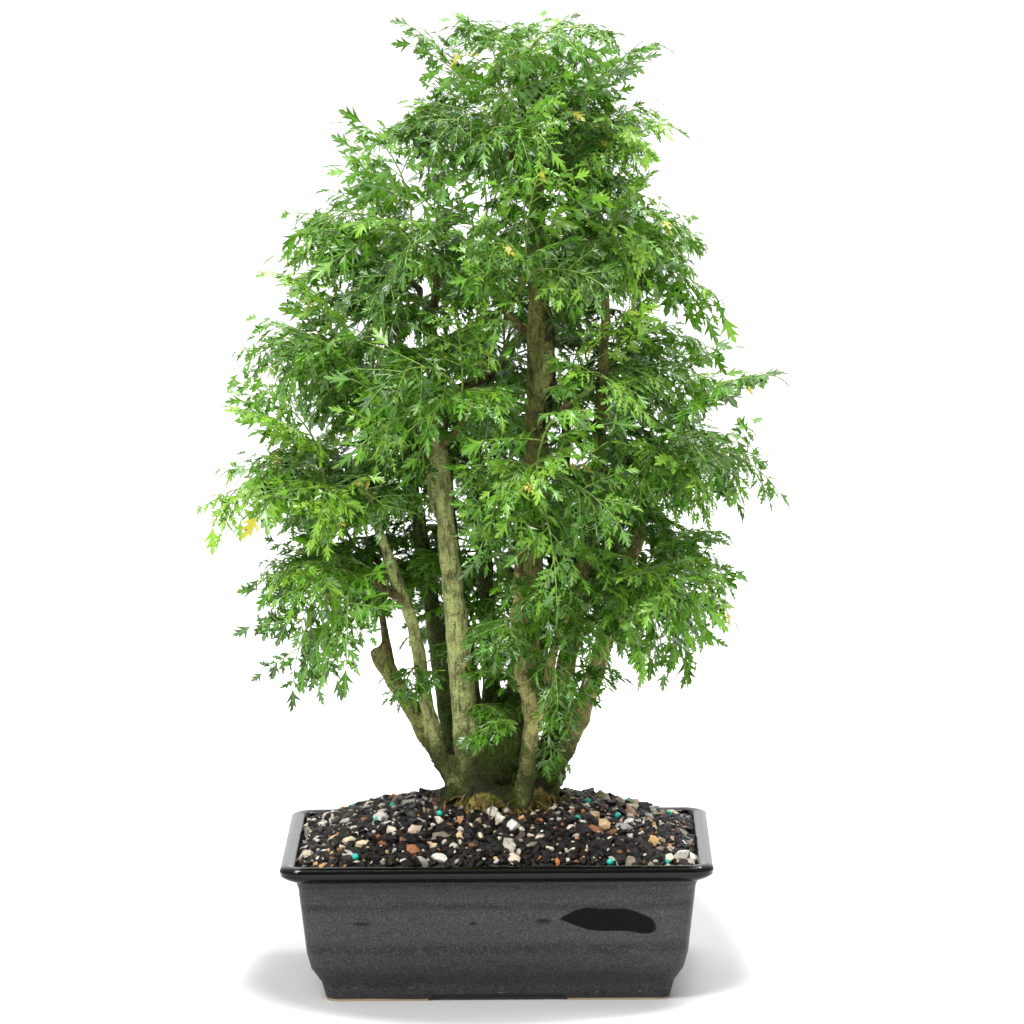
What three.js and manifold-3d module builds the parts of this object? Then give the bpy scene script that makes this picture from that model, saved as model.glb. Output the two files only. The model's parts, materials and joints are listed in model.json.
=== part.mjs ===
// A ming aralia bonsai: a clump of stems that carry sprays of finely cut leaves, in a rectangular glazed
// pot. Millimetres, +Z up, the front towards -Y. The origin is on the surface that the pot stands on, under
// the middle of the pot.
import * as THREE from "three";
import { mergeVertices } from "three/addons/utils/BufferGeometryUtils.js";
import Module from "manifold-3d";

const wasm = await Module();
wasm.setup();

// Driving dimensions of the pot, all of it slip-cast in one piece. The lip is the top ring that the mix
// fills.
const POT = { width: 203, depth: 150, height: 67.5, lip: 7, floorTop: 11 };

// The pot's outer side from the ground up: how far it lies inside the rim's edge, and how its corners
// round. The walls slope in and round into the foot, under a lip that stands proud.
const POT_OUTSIDE = [
  { inset: 21, corner: 6, z: 0 },
  { inset: 18.5, corner: 7, z: 9 },
  { inset: 17.5, corner: 7, z: 10.5 },
  { inset: 14, corner: 8, z: 16 },
  { inset: 12, corner: 8, z: 24 },
  { inset: 8.5, corner: 8, z: 55.5 },
  { inset: 7.5, corner: 8, z: 58.5 },
  { inset: 2.5, corner: 9, z: 61 },
  { inset: 0.5, corner: 10, z: 62.5 },
  { inset: 0, corner: 10, z: 65 },
  { inset: 0.8, corner: 10, z: 66.8 },
  { inset: 2.5, corner: 9, z: POT.height },
];

// Its inner side from the floor up.
const POT_INSIDE = [
  { inset: 25, corner: 5, z: POT.floorTop },
  { inset: 20.8, corner: 6, z: 20 },
  { inset: POT.lip + 2, corner: 6, z: 60.5 },
  { inset: POT.lip, corner: 6, z: 66.5 },
];

// The foot is a ring whose band is cut by low arches, long ones at the front and back and short ones at the
// ends.
const FOOT = { width: 161, depth: 108, recess: 5, band: 12, archHeight: 3, longArch: 66, shortArch: 44 };
const DRAIN = { radius: 6.5, sides: 14, apart: 84 };
const SCREEN = { side: 26, thick: 1.2, holes: 2, bar: 2.4 };

// The gap that is left between two pieces that touch.
const GAP = 0.35;

// Driving dimensions of the growing mix: a mound that is lowest at the two ends of the pot.
const SOIL = { edge: 65, rise: 20, endDrop: 3, roughness: 1.8, shift: 2.4, columns: 17, rows: 12 };
const CHIPS = { count: 11, least: 2.4, most: 4.6, shape: [1.25, 0.95, 0.8], raised: 0.25 };
const CHIP_PLACES = { nearest: 0.45, clearOfLip: 6 };

// Driving dimensions of the plant.
const ROOT_CROWN = { at: [3, -1, 81], size: [29, 22, 15] };
const ROOT = { reach: [0.3, 0.68, 1], top: 90, sunk: 0.2, dive: 72, sides: 6, steps: 3, taper: 0.35 };
const STEM_SIDES = 6;
const BRANCH = { sides: 4, steps: 3, baseRadius: 2.4, tipRadius: 1.7, sag: 0.12, straight: 4 };

// Where a branch may leave a stem: at so many evenly spaced places but the lowest few, and rising at least
// by slope. Each millimetre that it falls short of that slope counts as so many more of length.
const FORK = { places: 20, lowest: 4, slope: 0.35, shortfall: 3 };
const SHOOT = { section: 3.2, footRadius: 1.9, tipRadius: 1.3 };
const BLADE = { thick: 0.9, stalkHalf: 0.9, webHalf: 2.6, endHalf: 1.4, shareMargin: 1.2 };

// One frond, in shares of its length: a bare stalk, three pairs of side leaflets and one at the end. A
// leaflet's shoulders are the points of its outer edge, as shares of the way to its tip and across, and how
// far ahead.
const FROND = {
  length: 70,
  least: 24,
  trim: 0.97,
  arch: 0.7,
  stations: [0, 0.26, 0.48, 0.68, 0.85],
  leaflets: [
    { angle: 64, length: 0.47, sag: 0.2, shoulders: [[0.62, 0.66, 0.07], [0.6, 0.48, 0.14]] },
    { angle: 55, length: 0.4, sag: 0.18, shoulders: [[0.48, 0.55, 0.11]] },
    { angle: 42, length: 0.29, sag: 0.12, shoulders: [[0.48, 0.55, 0.11]] },
  ],
  tipAhead: 0.03,
  endLength: 0.17,
  endDrop: 0.03,
};

// How far a frond may differ from its place in the fan by chance: its length and droop in shares, its rise,
// lean and turn in degrees.
const TURN_IN = { shares: [1, 0.85, 0.7], gain: 1.06 };
const CHANCE = { length: 0.08, droop: 0.12, rise: 7, lean: 10, turn: 6 };

// The fronds of a spray, one to a side of its shoot and in order from the tip of the shoot down: the side
// (0 is the left one, then on over the top), the frond's turn from the way the spray faces, its first rise,
// its droop, its relative length, and how far the blade leans to face outwards.
const FAN = [
  { side: 1, turn: 3, rise: 97, droop: 80, length: 1, lean: -5 },
  { side: 2, turn: -44, rise: 68, droop: 118, length: 1, lean: -30 },
  { side: 0, turn: 61, rise: 34, droop: 72, length: 1, lean: 55 },
  { side: 4, turn: 1, rise: 5, droop: 76, length: 1, lean: -38 },
  { side: 3, turn: -55, rise: 17, droop: 46, length: 0.96, lean: -71 },
];
const CROWN_TOP_FAN = [
  { side: 4, turn: 0, rise: 66, droop: 111, length: 1, lean: 18 },
  { side: 1, turn: 144, rise: 61, droop: 96, length: 0.96, lean: 27 },
  { side: 3, turn: -72, rise: 81, droop: 116, length: 0.98, lean: -22 },
  { side: 0, turn: 72, rise: 23, droop: 108, length: 0.98, lean: 25 },
  { side: 2, turn: -144, rise: 89, droop: 117, length: 0.96, lean: -27 },
];

// The sprays stand in tiers up the crown. A tier is a ring, or the stretch of one that sweep gives in
// degrees, and the open stretch of the lowest two shows the stems at the front. Lift is added to each
// frond's first rise, and climb is how steeply the shoots rise.
const TIERS = [
  { z: 204, x: -3, y: -3, reachX: 80, reachY: 58, first: -18, sweep: 224, count: 5, lift: -15, climb: 26 },
  { z: 249, x: -1, y: 5, reachX: 92, reachY: 80, first: -78, sweep: 290, count: 6, lift: -13, climb: 24 },
  { z: 296, x: -6, y: 4, reachX: 70, reachY: 69, first: -99, sweep: 360, count: 6, lift: 3, climb: 32 },
  { z: 348, x: 3, y: 1, reachX: 59, reachY: 54, first: -80, sweep: 360, count: 6, lift: 12, climb: 39 },
  { z: 408, x: 14, y: 1, reachX: 30, reachY: 27, first: -108, sweep: 360, count: 4, lift: 7, climb: 45 },
];
const TIER_CHANCE = { turn: 5, z: 9 };
const CROWN_TOP = { x: 16, y: 0, z: 443, climb: 84 };

// The stems of the clump: where each runs, its radius at the foot and at the top. Those that show at the
// front come first.
const STEMS = [
  {
    path: [
      [-11, -10, 78], [-13, -13, 104], [-16, -16, 146], [-20, -20, 190], [-25, -23, 250], [-29, -20, 318],
    ],
    radii: [7.4, 2.6],
    steps: 6,
  },
  { path: [[-20, -20, 208], [-28, -20, 236], [-35, -17, 270], [-46, -12, 312]], radii: [3.8, 2], steps: 3 },
  {
    path: [
      [-12, -8, 78], [-24, -10, 104], [-33, -11, 134], [-39, -11, 170], [-50, -12, 203], [-66, -12, 252],
    ],
    radii: [4.2, 2],
    steps: 6,
  },
  {
    path: [[-10, -3, 78], [-24, -4, 103], [-40, -4, 130], [-52, -4, 150], [-57, -4, 160]],
    radii: [5.2, 4],
    steps: 3,
  },
  { path: [[-49, -4, 146], [-53, -3, 168], [-56, 4, 196]], radii: [2.2, 1.6], steps: 2 },
  {
    path: [[-8, 5, 78], [-20, 10, 112], [-29, 17, 165], [-40, 24, 236], [-49, 27, 300]],
    radii: [6, 2.2],
    steps: 5,
  },
  {
    path: [[12, -18, 76], [14, -25, 98], [16, -30, 134], [11, -33, 158], [11, -36, 200]],
    radii: [5, 2.4],
    steps: 5,
  },
  { path: [[15, -29, 120], [23, -29, 136], [27, -29, 160], [38, -33, 192]], radii: [3.2, 1.8], steps: 3 },
  {
    path: [[16, 0, 80], [28, 0, 102], [41, 0, 131], [51, 1, 160], [70, 5, 216]],
    radii: [6.2, 2.8],
    steps: 5,
  },
  {
    path: [[6, 7, 78], [10, 10, 104], [14, 11, 161], [19, 11, 240], [21, 9, 330], [20, 3, 400]],
    radii: [9, 3.2],
    steps: 6,
  },
  {
    path: [[13, 3, 80], [24, 6, 104], [36, 6, 165], [48, 6, 240], [53, 5, 326]],
    radii: [5.8, 2.2],
    steps: 5,
  },
  { path: [[-5, 12, 78], [-11, 25, 124], [-20, 38, 190], [-27, 46, 286]], radii: [5.4, 2.2], steps: 4 },
  { path: [[9, 13, 78], [16, 28, 126], [28, 40, 190], [36, 46, 284]], radii: [5.4, 2.2], steps: 4 },
  { path: [[-1, 8, 78], [-2, 14, 128], [-5, 19, 190], [-9, 22, 262]], radii: [6, 2.4], steps: 4 },
];
const STUMP = { path: [[1, -3, 78], [0, -5, 104], [1, -4, 132]], radii: [12, 8], steps: 2 };

// Surface roots: the way each leaves the root crown, how far it runs and how thick it starts.
const ROOTS = [
  { turn: -128, run: 34, radius: 6.5 },
  { turn: -82, run: 31, radius: 4.2 },
  { turn: -42, run: 38, radius: 5.6 },
  { turn: 6, run: 36, radius: 4.6 },
  { turn: 62, run: 33, radius: 4.6 },
  { turn: 122, run: 33, radius: 4.4 },
  { turn: 184, run: 37, radius: 5 },
];

const GOLDEN_TURN = 137.508;
const UP = new THREE.Vector3(0, 0, 1);
const rad = THREE.MathUtils.degToRad;
const vec = ([x, y, z]) => new THREE.Vector3(x, y, z);

// A repeatable draw from -1 to 1 for any three whole numbers.
function draw(a, b, c) {
  const v = Math.sin(a * 127.1 + b * 311.7 + c * 74.7 + 1.3) * 43758.5453;
  return 2 * (v - Math.floor(v)) - 1;
}

// The level direction at a turn about the Z axis.
function level(turn) {
  return new THREE.Vector3(Math.cos(rad(turn)), Math.sin(rad(turn)), 0);
}

// A closed geometry as a solid for cutting and joining.
function toSolid(geometry) {
  const bare = new THREE.BufferGeometry();
  bare.setAttribute("position", geometry.getAttribute("position"));
  if (geometry.index) bare.setIndex(geometry.index);
  const merged = mergeVertices(bare, 1e-4);
  return new wasm.Manifold(
    new wasm.Mesh({
      numProp: 3,
      vertProperties: new Float32Array(merged.attributes.position.array),
      triVerts: new Uint32Array(merged.index.array),
    }),
  );
}

function toGeometry(solid) {
  const mesh = solid.getMesh();
  const geometry = new THREE.BufferGeometry();
  geometry.setAttribute("position", new THREE.BufferAttribute(new Float32Array(mesh.vertProperties), 3));
  geometry.setIndex(new THREE.BufferAttribute(new Uint32Array(mesh.triVerts), 1));
  geometry.computeVertexNormals();
  return geometry;
}

function fuse(solids) {
  return wasm.Manifold.union(solids);
}

// A level ring of points round a rectangle with rounded corners.
function roundedRing(width, depth, corner, z) {
  const cornerSteps = 2;
  const points = [];
  const centres = [
    [1, 1, 0],
    [-1, 1, 90],
    [-1, -1, 180],
    [1, -1, 270],
  ];
  for (const [sx, sy, from] of centres) {
    for (let i = 0; i <= cornerSteps; i++) {
      const a = rad(from + (90 * i) / cornerSteps);
      points.push(
        new THREE.Vector3(
          sx * (width / 2 - corner) + corner * Math.cos(a),
          sy * (depth / 2 - corner) + corner * Math.sin(a),
          z,
        ),
      );
    }
  }
  return points;
}

// A closed solid through level rings of equally many points, listed from the lowest up.
function loft(rings) {
  const n = rings[0].length;
  const position = rings.flat().flatMap((p) => [p.x, p.y, p.z]);
  const index = [];
  for (let i = 1; i < n - 1; i++) index.push(0, i + 1, i);
  for (let r = 0; r < rings.length - 1; r++) {
    for (let i = 0; i < n; i++) {
      const a = r * n + i;
      const b = r * n + ((i + 1) % n);
      index.push(a, b, b + n, a, b + n, a + n);
    }
  }
  const last = (rings.length - 1) * n;
  for (let i = 1; i < n - 1; i++) index.push(last, last + i, last + i + 1);
  const geometry = new THREE.BufferGeometry();
  geometry.setAttribute("position", new THREE.Float32BufferAttribute(position, 3));
  geometry.setIndex(index);
  return toSolid(geometry);
}

function box(width, depth, height, x, y, z) {
  return toSolid(new THREE.BoxGeometry(width, depth, height).translate(x, y, z));
}

// The level ring of the pot at one step of its outer or inner side, moved further inside by extra.
function potRing({ inset, corner, z }, extra = 0) {
  return roundedRing(POT.width - 2 * (inset + extra), POT.depth - 2 * (inset + extra), corner, z);
}

// The space inside the pot, made smaller all round by extra. It goes on straight up past the lip to top.
function potSpace(extra, top) {
  const steps = [...POT_INSIDE, { ...POT_INSIDE.at(-1), z: top }];
  return loft(steps.map((step, i) => potRing(i === 0 ? { ...step, z: step.z + extra } : step, extra)));
}

function drainAt(side) {
  const { radius, sides, apart } = DRAIN;
  const bore = new THREE.CylinderGeometry(radius, radius, 4 * POT.floorTop, sides);
  return toSolid(bore.rotateX(Math.PI / 2).translate((side * apart) / 2, 0, 0));
}

// A low arch with rounded shoulders, cut right through the foot along one axis.
function footArch(length, through, turn) {
  const high = FOOT.archHeight;
  const half = length / 2;
  const side = [
    [half, -1],
    [half, 0],
    [half - 0.35 * high, 0.7 * high],
    [half - 1.2 * high, high],
  ];
  const outline = [...side, ...side.toReversed().map(([x, y]) => [-x, y])];
  const shape = new THREE.Shape(outline.map(([x, y]) => new THREE.Vector2(x, y)));
  const cut = new THREE.ExtrudeGeometry(shape, { depth: through, bevelEnabled: false });
  return toSolid(cut.translate(0, 0, -through / 2).rotateX(Math.PI / 2).rotateZ(rad(turn)));
}

function makePot() {
  const width = FOOT.width - 2 * FOOT.band;
  const depth = FOOT.depth - 2 * FOOT.band;
  const corner = 4;
  const recess = loft([-1, FOOT.recess].map((z) => roundedRing(width, depth, corner, z)));
  const cuts = [
    potSpace(0, POT.height + 5),
    recess,
    drainAt(-1),
    drainAt(1),
    footArch(FOOT.longArch, 2 * FOOT.depth, 0),
    footArch(FOOT.shortArch, 2 * FOOT.width, 90),
  ];
  return loft(POT_OUTSIDE.map((step) => potRing(step))).subtract(fuse(cuts));
}

// A plastic mesh square over a drain hole.
function makeScreen(side) {
  const { side: wide, thick, holes, bar } = SCREEN;
  const pitch = (wide - bar) / holes;
  const middleX = (side * DRAIN.apart) / 2;
  const middleZ = POT.floorTop + GAP + thick / 2;
  const cuts = [];
  for (let i = 0; i < holes; i++) {
    for (let j = 0; j < holes; j++) {
      const x = middleX + (i - (holes - 1) / 2) * pitch;
      const y = (j - (holes - 1) / 2) * pitch;
      cuts.push(box(pitch - bar, pitch - bar, 3 * thick, x, y, middleZ));
    }
  }
  return box(wide, wide, thick, middleX, 0, middleZ).subtract(fuse(cuts));
}

// Height of the mound's surface, without its crumbs.
function soilHeight(x, y) {
  const u = Math.min(1, Math.abs((2 * x) / (POT.width - 2 * POT.lip)));
  const v = Math.min(1, Math.abs((2 * y) / (POT.depth - 2 * POT.lip)));
  const mound = (1 - u ** 3) * (1 - v ** 2.6);
  return SOIL.edge - SOIL.endDrop * u ** 4 + SOIL.rise * mound;
}

// Everything under the mound's surface: a block whose top is a grid of crumbs.
function soilBlock() {
  const { columns, rows, roughness, shift } = SOIL;
  const top = new THREE.BoxGeometry(POT.width, POT.depth, 2, columns, rows, 1);
  const position = top.getAttribute("position");
  for (let i = 0; i < position.count; i++) {
    const x = position.getX(i);
    const y = position.getY(i);
    const column = Math.round((x / POT.width + 0.5) * columns);
    const row = Math.round((y / POT.depth + 0.5) * rows);
    const shiftX = column > 0 && column < columns ? shift * draw(column, row, 1) : 0;
    const shiftY = row > 0 && row < rows ? shift * draw(column, row, 2) : 0;
    const surface = soilHeight(x + shiftX, y + shiftY) + roughness * draw(column, row, 3);
    position.setXYZ(i, x + shiftX, y + shiftY, position.getZ(i) > 0 ? surface : 0);
  }
  return toSolid(top);
}

// Where the n-th chip lies: spread evenly over the mouth of the pot, outside the root crown.
function chipPlace(n) {
  const turn = rad(n * GOLDEN_TURN);
  const { nearest, clearOfLip } = CHIP_PLACES;
  const share = Math.sqrt(THREE.MathUtils.lerp(nearest ** 2, 1, (n + 0.5) / CHIPS.count));
  const x = share * Math.cos(turn) * (POT.width / 2 - POT.lip - clearOfLip);
  const y = share * Math.sin(turn) * (POT.depth / 2 - POT.lip - clearOfLip);
  return [x, y];
}

// Angular chips of stone, sunk half into the surface.
function makeChips() {
  const chips = [];
  for (let n = 0; n < CHIPS.count; n++) {
    const [x, y] = chipPlace(n);
    const size = THREE.MathUtils.lerp(CHIPS.least, CHIPS.most, 0.5 + 0.5 * draw(n, 5, 0));
    const stone = new THREE.OctahedronGeometry(size, 0);
    stone.scale(...CHIPS.shape).rotateX(3 * draw(n, 5, 1)).rotateZ(3 * draw(n, 5, 2));
    chips.push(toSolid(stone.translate(x, y, soilHeight(x, y) + CHIPS.raised * size)));
  }
  return chips;
}

function makeSoil() {
  const filled = potSpace(GAP, 2 * POT.height).intersect(fuse([soilBlock(), ...makeChips()]));
  const pocket = SCREEN.side + 2 * GAP;
  const screens = [-1, 1].map((side) =>
    box(pocket, pocket, 2 * (SCREEN.thick + GAP), (side * DRAIN.apart) / 2, 0, POT.floorTop + GAP),
  );
  return largest(filled.subtract(fuse([...screens, rootedPart(GAP)])));
}

// A cut can leave crumbs beside the piece: only the piece is kept.
function largest(solid) {
  return solid.decompose().reduce((a, b) => (a.volume() > b.volume() ? a : b));
}

// A round limb along a smooth path, thinner towards its end, with flat ends.
function limb(path, radii, sides, steps, extra = 0) {
  const curve = new THREE.CatmullRomCurve3(path);
  const frames = curve.computeFrenetFrames(steps, false);
  const tube = new THREE.CylinderGeometry(1, 1, steps, sides, steps);
  const position = tube.getAttribute("position");
  for (let i = 0; i < position.count; i++) {
    const step = Math.round(position.getY(i) + steps / 2);
    const radius = THREE.MathUtils.lerp(radii[0], radii[1], step / steps) + extra;
    const point = curve.getPointAt(step / steps);
    point.addScaledVector(frames.normals[step], position.getZ(i) * radius);
    point.addScaledVector(frames.binormals[step], position.getX(i) * radius);
    position.setXYZ(i, point.x, point.y, point.z);
  }
  return toSolid(tube);
}

function stemLimb(stem, extra = 0) {
  return limb(stem.path.map(vec), stem.radii, STEM_SIDES, stem.steps, extra);
}

// A root arches out of the root crown and dives into the mix.
function rootLimb({ turn, run, radius }, extra) {
  const out = level(turn);
  const [x, y] = ROOT_CROWN.at;
  const [, middle] = ROOT.reach;
  const surface = soilHeight(x + middle * run * out.x, y + middle * run * out.y) - ROOT.sunk * radius;
  const heights = [ROOT.top, surface, ROOT.dive];
  const at = (share, i) => new THREE.Vector3(x, y, heights[i]).addScaledVector(out, share * run);
  const path = ROOT.reach.map(at);
  return limb(path, [radius, ROOT.taper * radius], ROOT.sides, ROOT.steps, extra);
}

function rootCrown(extra) {
  const [sx, sy, sz] = ROOT_CROWN.size;
  const lump = new THREE.IcosahedronGeometry(1, 1).scale(sx + extra, sy + extra, sz + extra);
  return toSolid(lump.translate(...ROOT_CROWN.at));
}

// The part of the plant at the surface of the mix, made thicker all round by extra.
function rootedPart(extra) {
  return fuse([
    rootCrown(extra),
    stemLimb(STUMP, extra),
    ...ROOTS.map((root) => rootLimb(root, extra)),
    ...STEMS.map((stem) => stemLimb(stem, extra)),
  ]);
}

// The crown's sprays in order: a name, the tip of the shoot, the way it faces and its tier.
function placeSprays() {
  const sprays = [];
  TIERS.forEach((tier, t) => {
    const { climb, lift } = tier;
    const step = tier.sweep === 360 ? 360 / tier.count : tier.sweep / (tier.count - 1);
    for (let k = 0; k < tier.count; k++) {
      const turn = tier.first + k * step + TIER_CHANCE.turn * draw(t, k, 1);
      const x = tier.x + tier.reachX * Math.cos(rad(turn));
      const y = tier.y + tier.reachY * Math.sin(rad(turn));
      const hub = new THREE.Vector3(x, y, tier.z + TIER_CHANCE.z * draw(t, k, 2));
      sprays.push({ name: `leaf_spray_${t + 1}_${k + 1}`, hub, turn, climb, lift, fan: FAN, id: [t, k] });
    }
  });
  const { x, y, z, climb } = CROWN_TOP;
  const hub = new THREE.Vector3(x, y, z);
  const id = [TIERS.length, 0];
  sprays.push({ name: "leaf_spray_top", hub, turn: 0, climb, lift: 0, fan: CROWN_TOP_FAN, id });
  return sprays;
}

// The directions of a spray's shoot: along it, to its left and over it.
function shootFrame(spray) {
  const flat = Math.cos(rad(spray.climb));
  const along = level(spray.turn).multiplyScalar(flat).addScaledVector(UP, Math.sin(rad(spray.climb)));
  const left = level(spray.turn + 90);
  return { along, left, over: along.clone().cross(left) };
}

// A corner of the shoot, at a number of sections down from its tip.
function shootCorner(spray, frame, section, corner) {
  const sides = spray.fan.length;
  const turn = rad(-90 + ((corner - sides + 0.5) * 360) / sides);
  const radius = THREE.MathUtils.lerp(SHOOT.tipRadius, SHOOT.footRadius, section / (sides + 1));
  return spray.hub
    .clone()
    .addScaledVector(frame.along, -SHOOT.section * section)
    .addScaledVector(frame.left, radius * Math.cos(turn))
    .addScaledVector(frame.over, radius * Math.sin(turn));
}

// The foot of a spray's shoot, where its branch ends.
function shootFoot(spray) {
  const length = SHOOT.section * (spray.fan.length + 1);
  return spray.hub.clone().addScaledVector(shootFrame(spray).along, -length);
}

// The branch that carries a spray leaves the nearest stem below it and swings into the shoot's direction.
function branchFor(spray, stemCurves) {
  const { sides, steps, baseRadius, tipRadius, sag, straight } = BRANCH;
  const into = shootFrame(spray).along;
  const end = shootFoot(spray).addScaledVector(into, -GAP);
  const places = stemCurves.flatMap((curve) => curve.getSpacedPoints(FORK.places).slice(FORK.lowest));
  const cost = (from) => {
    const away = from.distanceTo(end);
    return away + FORK.shortfall * Math.max(0, from.z + FORK.slope * away - end.z);
  };
  const from = places.reduce((best, candidate) => (cost(candidate) < cost(best) ? candidate : best));
  const bend = from.clone().lerp(end, 0.5).addScaledVector(into, -sag * from.distanceTo(end));
  const before = end.clone().addScaledVector(into, -straight);
  return limb([from, bend, before, end], [baseRadius, tipRadius], sides, steps);
}

function makeWood(sprays) {
  const stemCurves = STEMS.map((stem) => new THREE.CatmullRomCurve3(stem.path.map(vec)));
  return fuse([rootedPart(0), ...sprays.map((spray) => branchFor(spray, stemCurves))]);
}

// A frond's rib as points and directions for a length of 1: it rises, then arches over as it goes out.
function ribStations(turn, rise, droop, lean) {
  const out = level(turn);
  const side = level(turn + 90);
  const fineSteps = 24;
  const at = (s) => rise - droop * s ** FROND.arch;
  return FROND.stations.map((s) => {
    let reach = 0;
    let height = 0;
    for (let i = 0; i < fineSteps; i++) {
      const angle = rad(at((s * (i + 0.5)) / fineSteps));
      reach += (Math.cos(angle) * s) / fineSteps;
      height += (Math.sin(angle) * s) / fineSteps;
    }
    const here = rad(at(s));
    const along = out.clone().multiplyScalar(Math.cos(here)).addScaledVector(UP, Math.sin(here));
    const above = along.clone().cross(side);
    const flat = Math.cos(rad(lean));
    const across = side.clone().multiplyScalar(flat).addScaledVector(above, Math.sin(rad(lean)));
    const normal = along.clone().cross(across);
    return { point: out.clone().multiplyScalar(reach).addScaledVector(UP, height), along, across, normal };
  });
}

// The outline of one side leaflet from its tip round to its far edge, for a frond of length 1.
function leafletOutline(station, leaflet, hand) {
  const { angle, length, sag, shoulders } = leaflet;
  const forward = length * Math.cos(rad(angle));
  const out = length * Math.sin(rad(angle));
  const point = (towards, across, ahead) =>
    station.point
      .clone()
      .addScaledVector(station.along, towards * forward + ahead)
      .addScaledVector(station.across, hand * across * out)
      .addScaledVector(station.normal, -sag * length * across ** 1.6);
  return [point(1, 1, FROND.tipAhead), ...shoulders.map((shoulder) => point(...shoulder))];
}

// A frond's shape for a length of 1, as stations and outlines in its own place.
function frondShape(turn, rise, droop, lean) {
  const stations = ribStations(turn, rise, droop, lean);
  const outlines = [-1, 1].map((hand) =>
    FROND.leaflets.map((leaflet, i) => leafletOutline(stations[i + 1], leaflet, hand)),
  );
  const last = stations.at(-1);
  const end = last.point
    .clone()
    .addScaledVector(last.along, FROND.endLength)
    .addScaledVector(last.normal, -FROND.endDrop);
  return { stations, outlines, end };
}

// Sprays share out the crown by nearness: a place belongs to the spray whose hub is the nearest.
function insideShare(places, spray, sprays) {
  return sprays.every((other) => {
    if (other === spray) return true;
    const least = 2 * BLADE.shareMargin * spray.hub.distanceTo(other.hub);
    const beyond = (at) => at.distanceToSquared(other.hub) - at.distanceToSquared(spray.hub);
    return places.every((at) => beyond(at) > least);
  });
}

// The length at which a whole frond keeps to its spray's share of the crown.
function roomFor(shape, root, wanted, spray, sprays) {
  const points = [shape.end, ...shape.outlines.flat(2)];
  let length = wanted;
  const places = () => points.map((point) => root.clone().addScaledVector(point, length));
  while (length > FROND.least && !insideShare(places(), spray, sprays)) length *= FROND.trim;
  return length;
}

// Settles how a spray's frond lies, and turns it in towards the middle of its spray by one of the shares
// below where that makes it longer by gain.
function layFrond(spray, sprays, f, root) {
  const [t, k] = spray.id;
  const place = spray.fan[f];
  const wanted = FROND.length * place.length * (1 + CHANCE.length * draw(t, k, 10 + f));
  const rise = place.rise + spray.lift + CHANCE.rise * draw(t, k, 20 + f);
  const droop = place.droop * (1 + CHANCE.droop * draw(t, k, 30 + f));
  const lean = place.lean + CHANCE.lean * draw(t, k, 40 + f);
  let best = null;
  for (const share of TURN_IN.shares) {
    const turn = spray.turn + place.turn * share + CHANCE.turn * draw(t, k, 50 + f);
    const shape = frondShape(turn, rise, droop, lean);
    const length = roomFor(shape, root, wanted, spray, sprays);
    if (!best || length > TURN_IN.gain * best.length) best = { shape, length, root };
  }
  return best;
}

// A spray's surface as it is put together from points and faces.
class Skin {
  constructor() {
    this.position = [];
    this.index = [];
  }
  point(place) {
    this.position.push(place.x, place.y, place.z);
    return this.position.length / 3 - 1;
  }
  // Strip of faces between two loops of as many points, seen from outside with the second one above.
  wall(lower, upper) {
    lower.forEach((a, i) => {
      const j = (i + 1) % lower.length;
      this.index.push(a, lower[j], upper[j], a, upper[j], upper[i]);
    });
  }
  cap(loop) {
    for (let i = 1; i + 1 < loop.length; i++) this.index.push(loop[0], loop[i], loop[i + 1]);
  }
  solid() {
    const geometry = new THREE.BufferGeometry();
    geometry.setAttribute("position", new THREE.Float32BufferAttribute(this.position, 3));
    geometry.setIndex(this.index);
    return toSolid(geometry);
  }
}

// A thin arched blade with its leaflets cut almost to the rib, each ending in a sharp tip. Its stalk grows
// from the four points of base. Every place on the blade is a pair of points, one on each face, or twice
// the same at a tip.
function growFrond(skin, base, { shape, length, root }) {
  const middle = (point) => root.clone().addScaledVector(point, length);
  const sharp = (point) => {
    const v = skin.point(middle(point));
    return [v, v];
  };
  const thick = (place, normal) =>
    [BLADE.thick / 2, -BLADE.thick / 2].map((h) => skin.point(place.clone().addScaledVector(normal, h)));
  const face = (...corners) => {
    const [a, b, c] = corners.map((pair) => pair[0]);
    const [d, e, f] = corners.map((pair) => pair[1]);
    skin.index.push(a, b, c, d, f, e);
  };
  const edge = (...pairs) => {
    for (let i = 0; i + 1 < pairs.length; i++) {
      const [a, d] = pairs[i];
      const [b, e] = pairs[i + 1];
      if (b !== e) skin.index.push(a, e, b);
      if (a !== d) skin.index.push(a, d, e);
    }
  };
  const ribs = shape.stations.slice(1).map((station, i, all) => {
    const half = i === 0 ? BLADE.stalkHalf : i + 1 < all.length ? BLADE.webHalf : BLADE.endHalf;
    return [-1, 1].map((hand) =>
      thick(middle(station.point).addScaledVector(station.across, hand * half), station.normal),
    );
  });
  for (let i = 0; i + 1 < ribs.length; i++) {
    const [a, b] = ribs[i];
    const [c, d] = ribs[i + 1];
    face(a, c, b);
    face(b, c, d);
  }
  shape.outlines.forEach((outlines, side) =>
    outlines.forEach(([tip, ...rest], i) => {
      const far = ribs[i + 1][side];
      const shoulders = rest.map((point) => thick(middle(point), shape.stations[i + 1].normal));
      const loop = [ribs[i][side], sharp(tip), ...shoulders, far];
      const notch = 2;
      for (let j = 1; j + 1 < loop.length; j++) {
        const corners = [notch, notch + j, notch + j + 1].map((v) => loop[v % loop.length]);
        face(...(side === 0 ? corners : corners.reverse()));
      }
      if (side === 1) loop.reverse();
      edge(...loop);
    }),
  );
  const [endRight, endLeft] = ribs.at(-1);
  const end = sharp(shape.end);
  face(endRight, end, endLeft);
  edge(endRight, end, endLeft);
  const [right, left] = ribs[0];
  skin.wall(base, straightest(skin, base, [left[1], left[0], right[0], right[1]]));
}

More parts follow.
